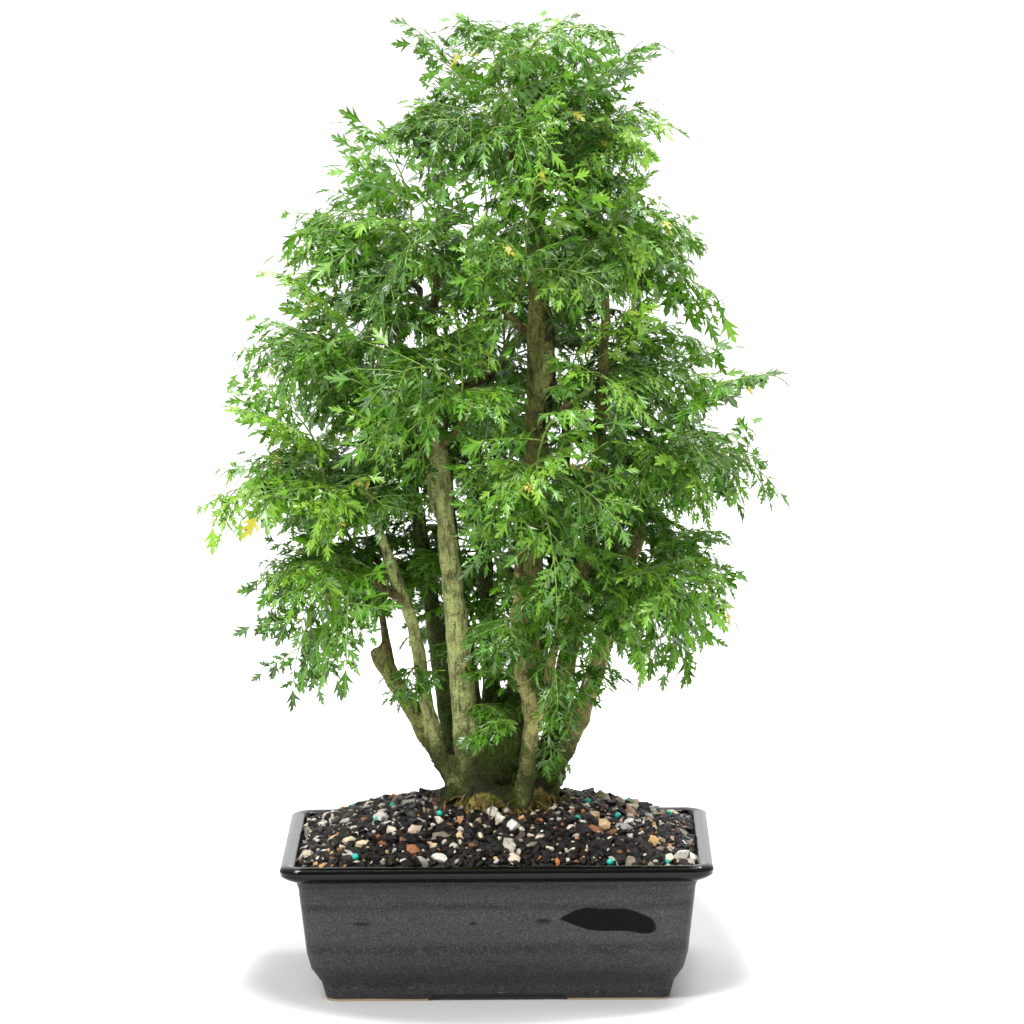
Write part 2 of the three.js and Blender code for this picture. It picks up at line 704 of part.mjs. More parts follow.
// The same loop begun at the corner that twists a wall between two loops of four least.
function straightest(skin, base, loop) {
  const at = (v) => new THREE.Vector3().fromArray(skin.position, 3 * v);
  const middleOf = (vs) => vs.reduce((sum, v) => sum.add(at(v)), new THREE.Vector3()).divideScalar(vs.length);
  const spokes = (vs) => vs.map((v) => at(v).sub(middleOf(vs)).normalize());
  const from = spokes(base);
  const turns = loop.map((_, shift) => [...loop.slice(shift), ...loop.slice(0, shift)]);
  const fit = (vs) => spokes(vs).reduce((sum, spoke, i) => sum + spoke.dot(from[i]), 0);
  return turns.reduce((a, b) => (fit(b) > fit(a) + 1e-9 ? b : a));
}

// A shoot with a frond growing from one of its sides in each section but the lowest.
function makeSpray(spray, sprays) {
  const skin = new Skin();
  const frame = shootFrame(spray);
  const sides = spray.fan.length;
  const rings = [];
  for (let section = 0; section <= sides + 1; section++) {
    const corners = [...spray.fan.keys()].map((corner) => shootCorner(spray, frame, section, corner));
    rings.push(corners.map((place) => skin.point(place)));
  }
  skin.cap(rings[0]);
  skin.cap(rings.at(-1).slice().reverse());
  for (let section = 0; section <= sides; section++) {
    for (let side = 0; side < sides; side++) {
      const next = (side + 1) % sides;
      const [tip, foot] = [rings[section], rings[section + 1]];
      const quad = [foot[side], foot[next], tip[next], tip[side]];
      if (section < sides && spray.fan[section].side === side) {
        const corners = quad.map((v) => new THREE.Vector3().fromArray(skin.position, 3 * v));
        const root = corners.reduce((sum, place) => sum.add(place), new THREE.Vector3()).divideScalar(4);
        growFrond(skin, quad, layFrond(spray, sprays, section, root));
      } else {
        skin.cap(quad);
      }
    }
  }
  return skin.solid();
}

const materials = {
  glaze: new THREE.MeshStandardMaterial({ color: 0x2b2b2e, roughness: 0.18, metalness: 0 }),
  mesh: new THREE.MeshStandardMaterial({ color: 0x1d1f1e, roughness: 0.6, metalness: 0 }),
  mix: new THREE.MeshStandardMaterial({ color: 0x3a322b, roughness: 0.95, metalness: 0 }),
  bark: new THREE.MeshStandardMaterial({ color: 0x80795a, roughness: 0.9, metalness: 0 }),
  leaf: new THREE.MeshStandardMaterial({ color: 0x3f8a2c, roughness: 0.4, metalness: 0 }),
};

const bonsai = new THREE.Group();

function place(name, solid, material) {
  const mesh = new THREE.Mesh(toGeometry(solid), material);
  mesh.name = name;
  bonsai.add(mesh);
}

const sprays = placeSprays();
place("pot", makePot(), materials.glaze);
place("drain_screen_left", makeScreen(-1), materials.mesh);
place("drain_screen_right", makeScreen(1), materials.mesh);
place("growing_mix", makeSoil(), materials.mix);
place("stem_clump", makeWood(sprays), materials.bark);
for (const spray of sprays) place(spray.name, makeSpray(spray, sprays), materials.leaf);

export default bonsai;
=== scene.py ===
"""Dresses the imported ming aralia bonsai: fine leaves, bark, growing mix, glaze, light and camera."""

import json
import logging
import math
from dataclasses import dataclass, field
from enum import Enum
from typing import Any

import bpy
import numpy as np
from mathutils import Matrix, Vector, noise

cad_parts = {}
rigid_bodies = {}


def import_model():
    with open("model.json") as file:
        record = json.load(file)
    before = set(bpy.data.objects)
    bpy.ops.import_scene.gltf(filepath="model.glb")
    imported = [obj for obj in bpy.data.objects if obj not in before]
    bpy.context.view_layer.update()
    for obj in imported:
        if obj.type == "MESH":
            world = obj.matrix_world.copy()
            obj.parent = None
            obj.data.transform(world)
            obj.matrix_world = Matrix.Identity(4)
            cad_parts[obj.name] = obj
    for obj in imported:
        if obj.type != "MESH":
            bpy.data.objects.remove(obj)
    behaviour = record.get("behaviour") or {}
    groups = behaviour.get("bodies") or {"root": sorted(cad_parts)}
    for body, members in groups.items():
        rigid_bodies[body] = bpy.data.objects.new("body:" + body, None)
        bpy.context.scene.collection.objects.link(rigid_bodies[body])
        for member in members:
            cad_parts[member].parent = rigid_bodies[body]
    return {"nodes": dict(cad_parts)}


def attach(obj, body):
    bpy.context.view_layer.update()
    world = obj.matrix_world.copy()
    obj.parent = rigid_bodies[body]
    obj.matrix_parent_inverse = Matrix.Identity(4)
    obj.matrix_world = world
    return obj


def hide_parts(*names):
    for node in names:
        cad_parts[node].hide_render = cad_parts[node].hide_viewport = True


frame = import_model()

LOG = logging.getLogger("bonsai")
# Shapes are worked out in millimetres, and Blender takes metres.
MM = 0.001
UP = np.array([0.0, 0.0, 1.0])
Points = np.ndarray
Pair = tuple[float, float]
Triple = tuple[float, float, float]


def draw(a: float, b: float, c: float) -> float:
    """Gives a repeatable number from -1 to 1 for three whole numbers."""
    v = math.sin(a * 127.1 + b * 311.7 + c * 74.7 + 1.3) * 43758.5453
    return 2 * (v - math.floor(v)) - 1


def level(turn: float) -> Points:
    """Gives the level direction at a turn in degrees about the upright axis."""
    return np.array([math.cos(math.radians(turn)), math.sin(math.radians(turn)), 0.0])


def unit(v: Points) -> Points:
    """Gives a direction the length of 1."""
    return v / max(1e-9, float(np.linalg.norm(v)))


def srgb(red: int, green: int, blue: int) -> tuple[float, ...]:
    """Turns a colour as a screen shows it, 0 to 255, into linear light with full alpha."""
    parts = [c / 255 for c in (red, green, blue)]
    return (*(p / 12.92 if p <= 0.04045 else ((p + 0.055) / 1.055) ** 2.4 for p in parts), 1.0)


def grey(light: float) -> tuple[float, ...]:
    """Gives a grey in linear light with full alpha."""
    return (light, light, light, 1.0)


class Stem(Enum):
    """The colour families of the bark."""

    PALE_GREEN = 0.0
    BEIGE = 0.17
    BROWN_GREEN = 0.33
    MOSSY = 0.5
    ROOT = 0.67
    DEAD = 0.83
    TWIG = 1.0


class Wire:
    """A value in a node tree. Its operators add Math nodes."""

    def __init__(self, tree: "Tree", socket: Any) -> None:
        """Wraps an output socket of a tree."""
        self.tree, self.socket = tree, socket

    def __add__(self, other: Any) -> "Wire":
        """Adds a value."""
        return self.tree.math("ADD", self, other)

    def __radd__(self, other: Any) -> "Wire":
        """Adds this to a value."""
        return self.tree.math("ADD", other, self)

    def __sub__(self, other: Any) -> "Wire":
        """Takes a value away."""
        return self.tree.math("SUBTRACT", self, other)

    def __rsub__(self, other: Any) -> "Wire":
        """Takes this away from a value."""
        return self.tree.math("SUBTRACT", other, self)

    def __mul__(self, other: Any) -> "Wire":
        """Multiplies by a value."""
        return self.tree.math("MULTIPLY", self, other)

    def __rmul__(self, other: Any) -> "Wire":
        """Multiplies a value by this."""
        return self.tree.math("MULTIPLY", other, self)

    def __pow__(self, other: Any) -> "Wire":
        """Raises to a power."""
        return self.tree.math("POWER", self, other)

    def __abs__(self) -> "Wire":
        """Gives the size without its sign."""
        return self.tree.math("ABSOLUTE", self)


class Tree:
    """A node tree that is put together in code."""

    def __init__(self, tree: Any) -> None:
        """Starts on an empty node tree."""
        self.tree = tree

    def node(self, kind: str, settings: dict[str, Any], inputs: dict[Any, Any]) -> Any:
        """Adds a node.

        Args:
            kind: The node's type.
            settings: Its properties, set first; a ramp's stops go under "stops".
            inputs: Values or links by socket name or number.

        Returns:
            The node.
        """
        made = self.tree.nodes.new(kind)
        for name, value in settings.items():
            if name == "stops":
                self._stops(made.color_ramp, value)
            else:
                setattr(made, name, value)
        for key, value in inputs.items():
            socket = made.inputs[key]
            if isinstance(value, Wire):
                self.tree.links.new(value.socket, socket)
            elif value is not None:
                socket.default_value = value
        return made

    @staticmethod
    def _stops(ramp: Any, stops: list[tuple[float, Any]]) -> None:
        """Sets a ramp's stops.

        Args:
            ramp: The colour ramp.
            stops: Places from 0 to 1 with their colours.
        """
        while len(ramp.elements) < len(stops):
            ramp.elements.new(0.5)
        for element, (at, colour) in zip(ramp.elements, stops, strict=True):
            element.position = at
            element.color = colour

    def wire(self, made: Any, output: Any = 0) -> Wire:
        """Takes one of a node's outputs."""
        return Wire(self, made.outputs[output])

    def math(self, operation: str, *values: Any) -> Wire:
        """Adds a Math node for an operation on values or links."""
        return self.wire(self.node("ShaderNodeMath", {"operation": operation}, dict(enumerate(values))))

    def split(self, vector: Wire) -> tuple[Wire, Wire, Wire]:
        """Gives the three numbers of a place."""
        made = self.node("ShaderNodeSeparateXYZ", {}, {0: vector})
        return self.wire(made, 0), self.wire(made, 1), self.wire(made, 2)

    def between(self, value: Wire, low: float, high: float) -> Wire:
        """Gives 0 below low, 1 above high and a smooth step between them."""
        inputs = {"Value": value, "From Min": low, "From Max": high, "To Min": 0.0, "To Max": 1.0}
        return self.wire(self.node("ShaderNodeMapRange", {"interpolation_type": "SMOOTHSTEP"}, inputs))


class Shader(Tree):
    """A material and its nodes."""

    def __init__(self, name: str) -> None:
        """Makes an empty material.

        Args:
            name: The material's name.
        """
        self.material = bpy.data.materials.new(name)
        self.material.use_nodes = True
        self.material.node_tree.nodes.clear()
        super().__init__(self.material.node_tree)

    def place(self) -> Wire:
        """Gives the place on the piece, in metres."""
        return self.wire(self.node("ShaderNodeTexCoord", {}, {}), "Object")

    def attribute(self, name: str, output: str = "Fac") -> Wire:
        """Reads an attribute of the mesh."""
        return self.wire(self.node("ShaderNodeAttribute", {"attribute_name": name}, {}), output)

    def stretched(self, vector: Wire, scale: Triple) -> Wire:
        """Multiplies a place by a scale along each axis."""
        made = self.node("ShaderNodeVectorMath", {"operation": "MULTIPLY"}, {0: vector, 1: scale})
        return self.wire(made)

    def noise(self, vector: Wire, scale: float, detail: float = 3.0, rough: float = 0.55) -> Wire:
        """Gives a cloudy pattern around a half, with so many features to a metre."""
        inputs = {"Vector": vector, "Scale": scale, "Detail": detail, "Roughness": rough}
        return self.wire(self.node("ShaderNodeTexNoise", {}, inputs))

    def mix(self, share: Any, first: Any, second: Any, blend: str = "MIX") -> Wire:
        """Mixes a share of the second colour over the first."""
        settings = {"data_type": "RGBA", "blend_type": blend, "clamp_factor": True}
        return self.wire(self.node("ShaderNodeMix", settings, {0: share, 6: first, 7: second}), 2)

    def ramp(self, value: Wire, stops: list[tuple[float, Any]]) -> Wire:
        """Turns a number into a colour."""
        return self.wire(self.node("ShaderNodeValToRGB", {"stops": stops}, {0: value}))

    def bump(self, height: Wire, depth: float, strength: float) -> Wire:
        """Turns a height from 0 to 1 into a bumpy normal, where 1 is so many metres high."""
        inputs = {"Strength": strength, "Distance": depth, "Height": height}
        return self.wire(self.node("ShaderNodeBump", {}, inputs))

    def done(self, colour: Wire, rough: Any, normal: Any, more: dict[str, Any], through: Any = None) -> Any:
        """Ends the material in a Principled shader.

        Args:
            colour: Its base colour.
            rough: Its roughness.
            normal: Its normal, if it has one.
            more: The values or links of its other sockets.
            through: How much light comes through the piece, and in what colour.

        Returns:
            The material.
        """
        inputs = {"Base Color": colour, "Roughness": rough, "Normal": normal, **more}
        surface = self.wire(self.node("ShaderNodeBsdfPrincipled", {}, inputs))
        if through is not None:
            lit = self.wire(self.node("ShaderNodeBsdfTranslucent", {}, {"Color": through[1]}))
            surface = self.wire(self.node("ShaderNodeMixShader", {}, {0: through[0], 1: surface, 2: lit}))
        self.node("ShaderNodeOutputMaterial", {}, {"Surface": surface})
        return self.material


class Geometry(Tree):
    """A Geometry Nodes tree with named inputs, and the modifier that runs it."""

    def __init__(self, name: str) -> None:
        """Makes an empty tree with a geometry going in and one coming out.

        Args:
            name: The tree's name.
        """
        group = bpy.data.node_groups.new(name, "GeometryNodeTree")
        super().__init__(group)
        group.interface.new_socket("Geometry", in_out="INPUT", socket_type="NodeSocketGeometry")
        group.interface.new_socket("Geometry", in_out="OUTPUT", socket_type="NodeSocketGeometry")
        self.entry = group.nodes.new("NodeGroupInput")
        self.exit = group.nodes.new("NodeGroupOutput")
        self.names: dict[str, str] = {}

    def given(self, name: str, kind: str) -> Wire:
        """Adds a named input and gives its value."""
        socket = self.tree.interface.new_socket(name, in_out="INPUT", socket_type=kind)
        self.names[name] = socket.identifier
        return Wire(self, self.entry.outputs[name])

    def start(self) -> Wire:
        """Gives the geometry that goes in."""
        return Wire(self, self.entry.outputs["Geometry"])

    def read(self, name: str, kind: str = "FLOAT") -> Wire:
        """Reads a named attribute of the geometry."""
        return self.wire(self.node("GeometryNodeInputNamedAttribute", {"data_type": kind}, {"Name": name}))

    def planted(self, points: Wire, shapes: Wire, which: Wire, turn: Wire, size: Wire) -> Wire:
        """Stands a collection's shapes on points, as real meshes.

        Args:
            points: Where they stand.
            shapes: The collection.
            which: The number of the shape at each point.
            turn: Its rotation.
            size: Its scale.

        Returns:
            Their geometry.
        """
        inputs = {"Collection": shapes, "Separate Children": True, "Reset Children": True}
        picked = self.wire(self.node("GeometryNodeCollectionInfo", {}, inputs))
        inputs = {"Points": points, "Instance": picked, "Pick Instance": True, "Instance Index": which}
        seats = self.node("GeometryNodeInstanceOnPoints", {}, {**inputs, "Rotation": turn, "Scale": size})
        return self.wire(self.node("GeometryNodeRealizeInstances", {}, {0: self.wire(seats)}))

    def finished(self, geometry: Wire, finish: Wire) -> Wire:
        """Gives a geometry its material."""
        return self.wire(self.node("GeometryNodeSetMaterial", {}, {"Geometry": geometry, "Material": finish}))

    def end(self, geometry: Wire) -> None:
        """Links what comes out."""
        self.tree.links.new(geometry.socket, self.exit.inputs[0])

    def run(self, piece: Any, values: dict[str, Any]) -> Any:
        """Runs the tree on a piece and keeps the result as a plain mesh.

        Args:
            piece: The object that the tree starts from.
            values: The tree's inputs by their names.

        Returns:
            The same object with its new mesh.
        """
        modifier = piece.modifiers.new("grow", "NODES")
        modifier.node_group = self.tree
        for key, value in values.items():
            modifier[self.names[key]] = value
        piece.update_tag()
        return baked(piece)


def loose_object(name: str, verts: Any, faces: list[Any], edges: Any = ()) -> Any:
    """Makes a mesh object from places in metres, which no collection holds yet."""
    mesh = bpy.data.meshes.new(name)
    mesh.from_pydata(np.asarray(verts, float).tolist(), list(edges), faces)
    mesh.update()
    return bpy.data.objects.new(name, mesh)


def new_object(name: str, verts: Any, faces: list[Any], edges: Any = ()) -> Any:
    """Makes a mesh object from places in millimetres.

    Args:
        name: The object's name.
        verts: The places, one row each.
        faces: The corners of each face.
        edges: The ends of each loose edge.

    Returns:
        The object, linked to the scene.
    """
    made = loose_object(name, np.asarray(verts, float) * MM, faces, edges)
    bpy.context.scene.collection.objects.link(made)
    return made


def discard(collection: Any) -> None:
    """Removes a collection and its objects."""
    for shape in list(collection.objects):
        bpy.data.objects.remove(shape)
    bpy.data.collections.remove(collection)


def set_attribute(piece: Any, name: str, kind: str, values: Any) -> None:
    """Writes an attribute on the points of a mesh."""
    attribute = piece.data.attributes.get(name) or piece.data.attributes.new(name, kind, "POINT")
    stored = np.asarray(values, {"BOOLEAN": bool, "INT": np.int32}.get(kind, np.float32))
    attribute.data.foreach_set("vector" if kind == "FLOAT_VECTOR" else "value", stored.ravel())


def dress(piece: Any, finish: Any, angle: float = 180.0) -> None:
    """Shades a piece smooth, but for edges sharper than an angle in degrees, and gives it a finish."""
    piece.data.shade_smooth()
    if angle < 180:
        piece.data.set_sharp_from_angle(angle=math.radians(angle))
    piece.data.materials.clear()
    piece.data.materials.append(finish)


def baked(piece: Any) -> Any:
    """Applies all of a piece's modifiers.

    Args:
        piece: The object.

    Returns:
        The same object with its finished mesh.
    """
    bpy.context.view_layer.update()
    graph = bpy.context.evaluated_depsgraph_get()
    mesh = bpy.data.meshes.new_from_object(piece.evaluated_get(graph), depsgraph=graph)
    piece.modifiers.clear()
    piece.data = mesh
    return piece


def vertices(piece: Any) -> Points:
    """Gives a piece's places in millimetres."""
    places = np.empty(len(piece.data.vertices) * 3, np.float32)
    piece.data.vertices.foreach_get("co", places)
    return places.reshape(-1, 3).astype(float) / MM


def move_vertices(piece: Any, places: Points) -> None:
    """Puts a piece's points at places in millimetres."""
    piece.data.vertices.foreach_set("co", (places * MM).astype(np.float32).ravel())
    piece.data.update()


def settle(piece: Any, slot: str, *nodes: str) -> None:
    """Makes a piece ride on the root body, hides the solids that it replaces and logs its triangles.

    Args:
        piece: The finished object.
        slot: Not used.
        nodes: The solids that it replaces.
    """
    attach(piece, "root")
    if nodes:
        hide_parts(*nodes)
    LOG.info("%s: %d triangles", piece.name, sum(len(p.vertices) - 2 for p in piece.data.polygons))


def quads(rings: int, sides: int, first: int = 0) -> list[tuple[int, ...]]:
    """Gives the faces between rings of places, which are numbered from a first one.

    Args:
        rings: How many rings there are.
        sides: How many places a ring has.
        first: The number of the first place.

    Returns:
        The faces.
    """
    faces = []
    for low in range(first, first + (rings - 1) * sides, sides):
        for i in range(sides):
            j = (i + 1) % sides
            faces.append((low + i, low + j, low + sides + j, low + sides + i))
    return faces


def closed(rings: int, sides: int, first: int, ends: tuple[int, int]) -> list[tuple[int, ...]]:
    """Gives the faces of a skin over rings that come to a point at both ends.

    Args:
        rings: How many rings there are.
        sides: How many places a ring has.
        first: The number of the first ring's first place.
        ends: The numbers of the points at the first ring and at the last.

    Returns:
        The faces.
    """
    faces = quads(rings, sides, first)
    top = first + (rings - 1) * sides
    for i in range(sides):
        j = (i + 1) % sides
        faces += [(ends[0], first + j, first + i), (ends[1], top + i, top + j)]
    return faces


class Curve:
    """A smooth line through points that holds its speed down at near ones."""

    SAMPLES = 201

    def __init__(self, points: Any) -> None:
        """Keeps the points and measures the line.

        Args:
            points: Places in millimetres.
        """
        self.points = np.array(points, float)
        self.shares = np.linspace(0, 1, self.SAMPLES)
        places = np.array([self.at(t) for t in self.shares])
        steps = np.linalg.norm(np.diff(places, axis=0), axis=1)
        self.lengths = np.concatenate([[0.0], np.cumsum(steps)])

    def at(self, t: float) -> Points:
        """Gives the place at a share of the way, by points.

        Args:
            t: From 0 to 1.

        Returns:
            The place.
        """
        points = self.points
        last = len(points) - 1
        step = min(int(t * last), last - 1)
        weight = t * last - step
        p1, p2 = points[step], points[step + 1]
        p0 = points[step - 1] if step > 0 else 2 * points[0] - points[1]
        p3 = points[step + 2] if step + 2 <= last else 2 * points[last] - points[last - 1]
        d0, d1, d2 = (max(1e-4, float(np.linalg.norm(b - a))) ** 0.5 for a, b in ((p0, p1), (p1, p2), (p2, p3)))
        t1 = ((p1 - p0) / d0 - (p2 - p0) / (d0 + d1) + (p2 - p1) / d1) * d1
        t2 = ((p2 - p1) / d1 - (p3 - p1) / (d1 + d2) + (p3 - p2) / d2) * d1
        c2 = -3 * p1 + 3 * p2 - 2 * t1 - t2
        c3 = 2 * p1 - 2 * p2 + t1 + t2
        return p1 + t1 * weight + c2 * weight**2 + c3 * weight**3

    def along(self, share: float) -> Points:
        """Gives the place at a share of the length."""
        return self.at(float(np.interp(share * self.lengths[-1], self.lengths, self.shares)))

    def spaced(self, count: int) -> Points:
        """Gives places evenly spaced along the line, both ends with them."""
        return np.array([self.along(i / count) for i in range(count + 1)])


class Shell:
    """A mesh as it is put together from tubes and grids, in millimetres."""

    def __init__(self) -> None:
        """Starts with nothing."""
        self.verts: list[Points] = []
        self.faces: list[tuple[int, ...]] = []
        self.count = 0

    def add(self, verts: Points, faces: list[Any]) -> None:
        """Adds places, and faces that count from the first of them.

        Args:
            verts: The places.
            faces: The faces.
        """
        self.verts.append(np.asarray(verts, float))
        self.faces += [tuple(self.count + i for i in face) for face in faces]
        self.count += len(verts)

    def tube(self, path: Points, radii: Any, sides: int, phase: float = 0.0) -> None:
        """Adds a round tube with closed ends.

        Args:
            path: Its middle line.
            radii: Its radius at each place of the line.
            sides: How many sides it has.
            phase: How far it is turned about its line, in radians.
        """
        path = np.asarray(path, float)
        radii = np.broadcast_to(np.asarray(radii, float), (len(path),))
        ways = np.gradient(path, axis=0)
        ways /= np.maximum(1e-9, np.linalg.norm(ways, axis=1))[:, None]
        side = unit(np.cross(ways[0], UP if abs(ways[0][2]) < 0.9 else np.array([0.0, 1.0, 0.0])))
        turns = phase + np.arange(sides) * 2 * math.pi / sides
        rings = []
        for place, way, radius in zip(path, ways, radii, strict=True):
            side = unit(side - way * float(side @ way))
            other = np.cross(way, side)
            rings.append(place + radius * (np.cos(turns)[:, None] * side + np.sin(turns)[:, None] * other))
        verts = np.concatenate([*rings, path[:1], path[-1:]])
        last = len(path) * sides
        self.add(verts, closed(len(path), sides, 0, (last, last + 1)))

    def ball(self, centre: Any, size: Any, rows: int = 12, columns: int = 20) -> None:
        """Adds a closed egg.

        Args:
            centre: Its middle.
            size: Its half width along each axis.
            rows: Rings from pole to pole.
            columns: Sides of a ring.
        """
        verts = [[0.0, 0.0, -1.0]]
        for r in range(1, rows):
            tilt = math.pi * r / rows
            for c in range(columns):
                turn = 2 * math.pi * c / columns
                verts.append([math.sin(tilt) * math.cos(turn), math.sin(tilt) * math.sin(turn), -math.cos(tilt)])
        verts.append([0.0, 0.0, 1.0])
        faces = closed(rows - 1, columns, 1, (0, len(verts) - 1))
        self.add(np.array(verts) * np.array(size) + np.array(centre), faces)

    def object(self, name: str) -> Any:
        """Makes the object."""
        return new_object(name, np.concatenate(self.verts), self.faces)


@dataclass(frozen=True)
class LeafFinish:
    """Glossy green blades with a paler midrib, no two of quite the same green."""

    deep: Any = srgb(16, 48, 6)
    middle: Any = srgb(66, 122, 16)
    bright: Any = srgb(132, 178, 50)
    yellow: Any = srgb(192, 178, 64)
    rib: Any = srgb(142, 172, 76)
    through: Any = srgb(112, 170, 20)

    def material(self) -> Any:
        """Builds the material.

        Returns:
            The material of the leaf blades.
        """
        s = Shader("leaf_blade")
        across, along, _ = s.split(s.attribute("blade", "Vector"))
        place = s.place()
        clouds = s.noise(place, 260.0, 3.0)
        greens = [(0.16, self.deep), (0.56, self.middle), (0.98, self.bright)]
        body = s.ramp(s.attribute("tone") * 0.8 + clouds * 0.4, greens)
        worn = s.mix(s.between(s.attribute("age"), 0.9975, 0.999), body, self.yellow)
        veins = s.math("PINGPONG", along * 7.0 + abs(across) * -2.4, 0.5)
        vein = (1 - s.between(veins, 0.0, 0.12)) * 0.16
        midrib = (1 - s.between(abs(across), 0.02, 0.1)) * 0.4
        colour = s.mix(s.math("MAXIMUM", vein, midrib), worn, self.rib)
        height = s.noise(place, 900.0, 2.0) * 0.5 - midrib * 0.8 - vein
        coat = {"Coat Weight": 0.28, "Coat Roughness": 0.18}
        return s.done(colour, 0.2 + clouds * 0.2, s.bump(height, 0.0004, 0.55), coat, (0.15, self.through))


@dataclass(frozen=True)
class StalkFinish:
    """Yellow-green leaf stalks that turn brown and purple where they are woody."""

    green: Any = srgb(136, 164, 68)
    fresh: Any = srgb(84, 122, 40)
    woody: Any = srgb(82, 62, 44)

    def material(self) -> Any:
        """Builds the material.

        Returns:
            The material of stalks and ribs.
        """
        s = Shader("leaf_stalk")
        clouds = s.noise(s.place(), 420.0, 3.0)
        fresh = s.mix(s.between(clouds, 0.35, 0.65), self.green, self.fresh)
        colour = s.mix(s.attribute("wood"), fresh, self.woody)
        return s.done(colour, 0.42 + clouds * 0.14, s.bump(clouds, 0.0003, 0.5), {})


@dataclass(frozen=True)
class BarkFinish:
    """Rough bark with fine fissures, lichen flecks and moss, darker and browner towards the mix. Each stem has its
    own colour.
    """

    # The colour of each kind of stem, in their order.
    stems: tuple[Any, ...] = (
        srgb(178, 182, 118), srgb(172, 162, 104), srgb(138, 136, 76), srgb(56, 60, 30), srgb(178, 146, 84),
        srgb(34, 27, 22), srgb(96, 80, 54),
    )
    crack: Any = srgb(40, 35, 20)
    fleck: Any = srgb(206, 202, 158)
    moss: Any = srgb(66, 90, 22)
    moss_light: Any = srgb(124, 146, 46)
    low_brown: Any = srgb(42, 33, 21)

    def material(self) -> Any:
        """Builds the material.

        Returns:
            The material of stems, roots and branches.
        """
        s = Shader("bark")
        place = s.place()
        strands = s.noise(s.stretched(place, (1.0, 1.0, 0.22)), 560.0, 5.0, 0.7)
        rings = s.noise(s.stretched(place, (0.6, 0.6, 1.5)), 640.0, 4.0, 0.72)
        broad = s.noise(place, 150.0, 4.0, 0.6)
        grain = s.noise(place, 1400.0, 4.0, 0.75)
        crack = s.math("MAXIMUM", 1 - s.between(strands, 0.37, 0.47), (1 - s.between(rings, 0.34, 0.43)) * 0.8)
        kinds = [(kind.value, colour) for kind, colour in zip(Stem, self.stems, strict=True)]
        base = s.ramp(s.attribute("stem"), kinds)
        stain = s.between(s.noise(place, 430.0, 5.0, 0.75), 0.42, 0.6)
        mottled = s.mix(stain * 0.45, base, self.moss_light)
        shaded = s.mix(s.between(broad, 0.42, 0.72) * 0.65, mottled, self.crack)
        lined = s.mix(crack * 0.58, shaded, self.crack)
        fleck = s.between(grain, 0.54, 0.7) * (1 - s.between(s.attribute("stem"), 0.5, 0.7))
        flecked = s.mix(fleck * 0.6, lined, self.fleck)
        pitted = s.mix((1 - s.between(grain, 0.34, 0.46)) * 0.7, flecked, self.crack)
        clouds = s.noise(place, 210.0, 4.0, 0.65)
        moss = s.between(s.attribute("moss") + clouds * 0.9, 0.8, 1.0)
        tufts = s.noise(place, 1000.0, 4.0, 0.7)
        green = s.ramp(tufts, [(0.34, self.crack), (0.46, self.moss), (0.68, self.moss_light)])
        grown = s.mix(moss * 0.82, pitted, green)
        # The bark turns darker and browner towards the mix.
        colour = s.mix(s.attribute("dirt"), grown, self.low_brown)
        height = strands * 0.8 + grain * 0.5 - crack * 0.45 + moss * tufts * 1.6
        return s.done(colour, 0.74 + grain * 0.2, s.bump(height, 0.0013, 1.0), {"Specular IOR Level": 0.3})


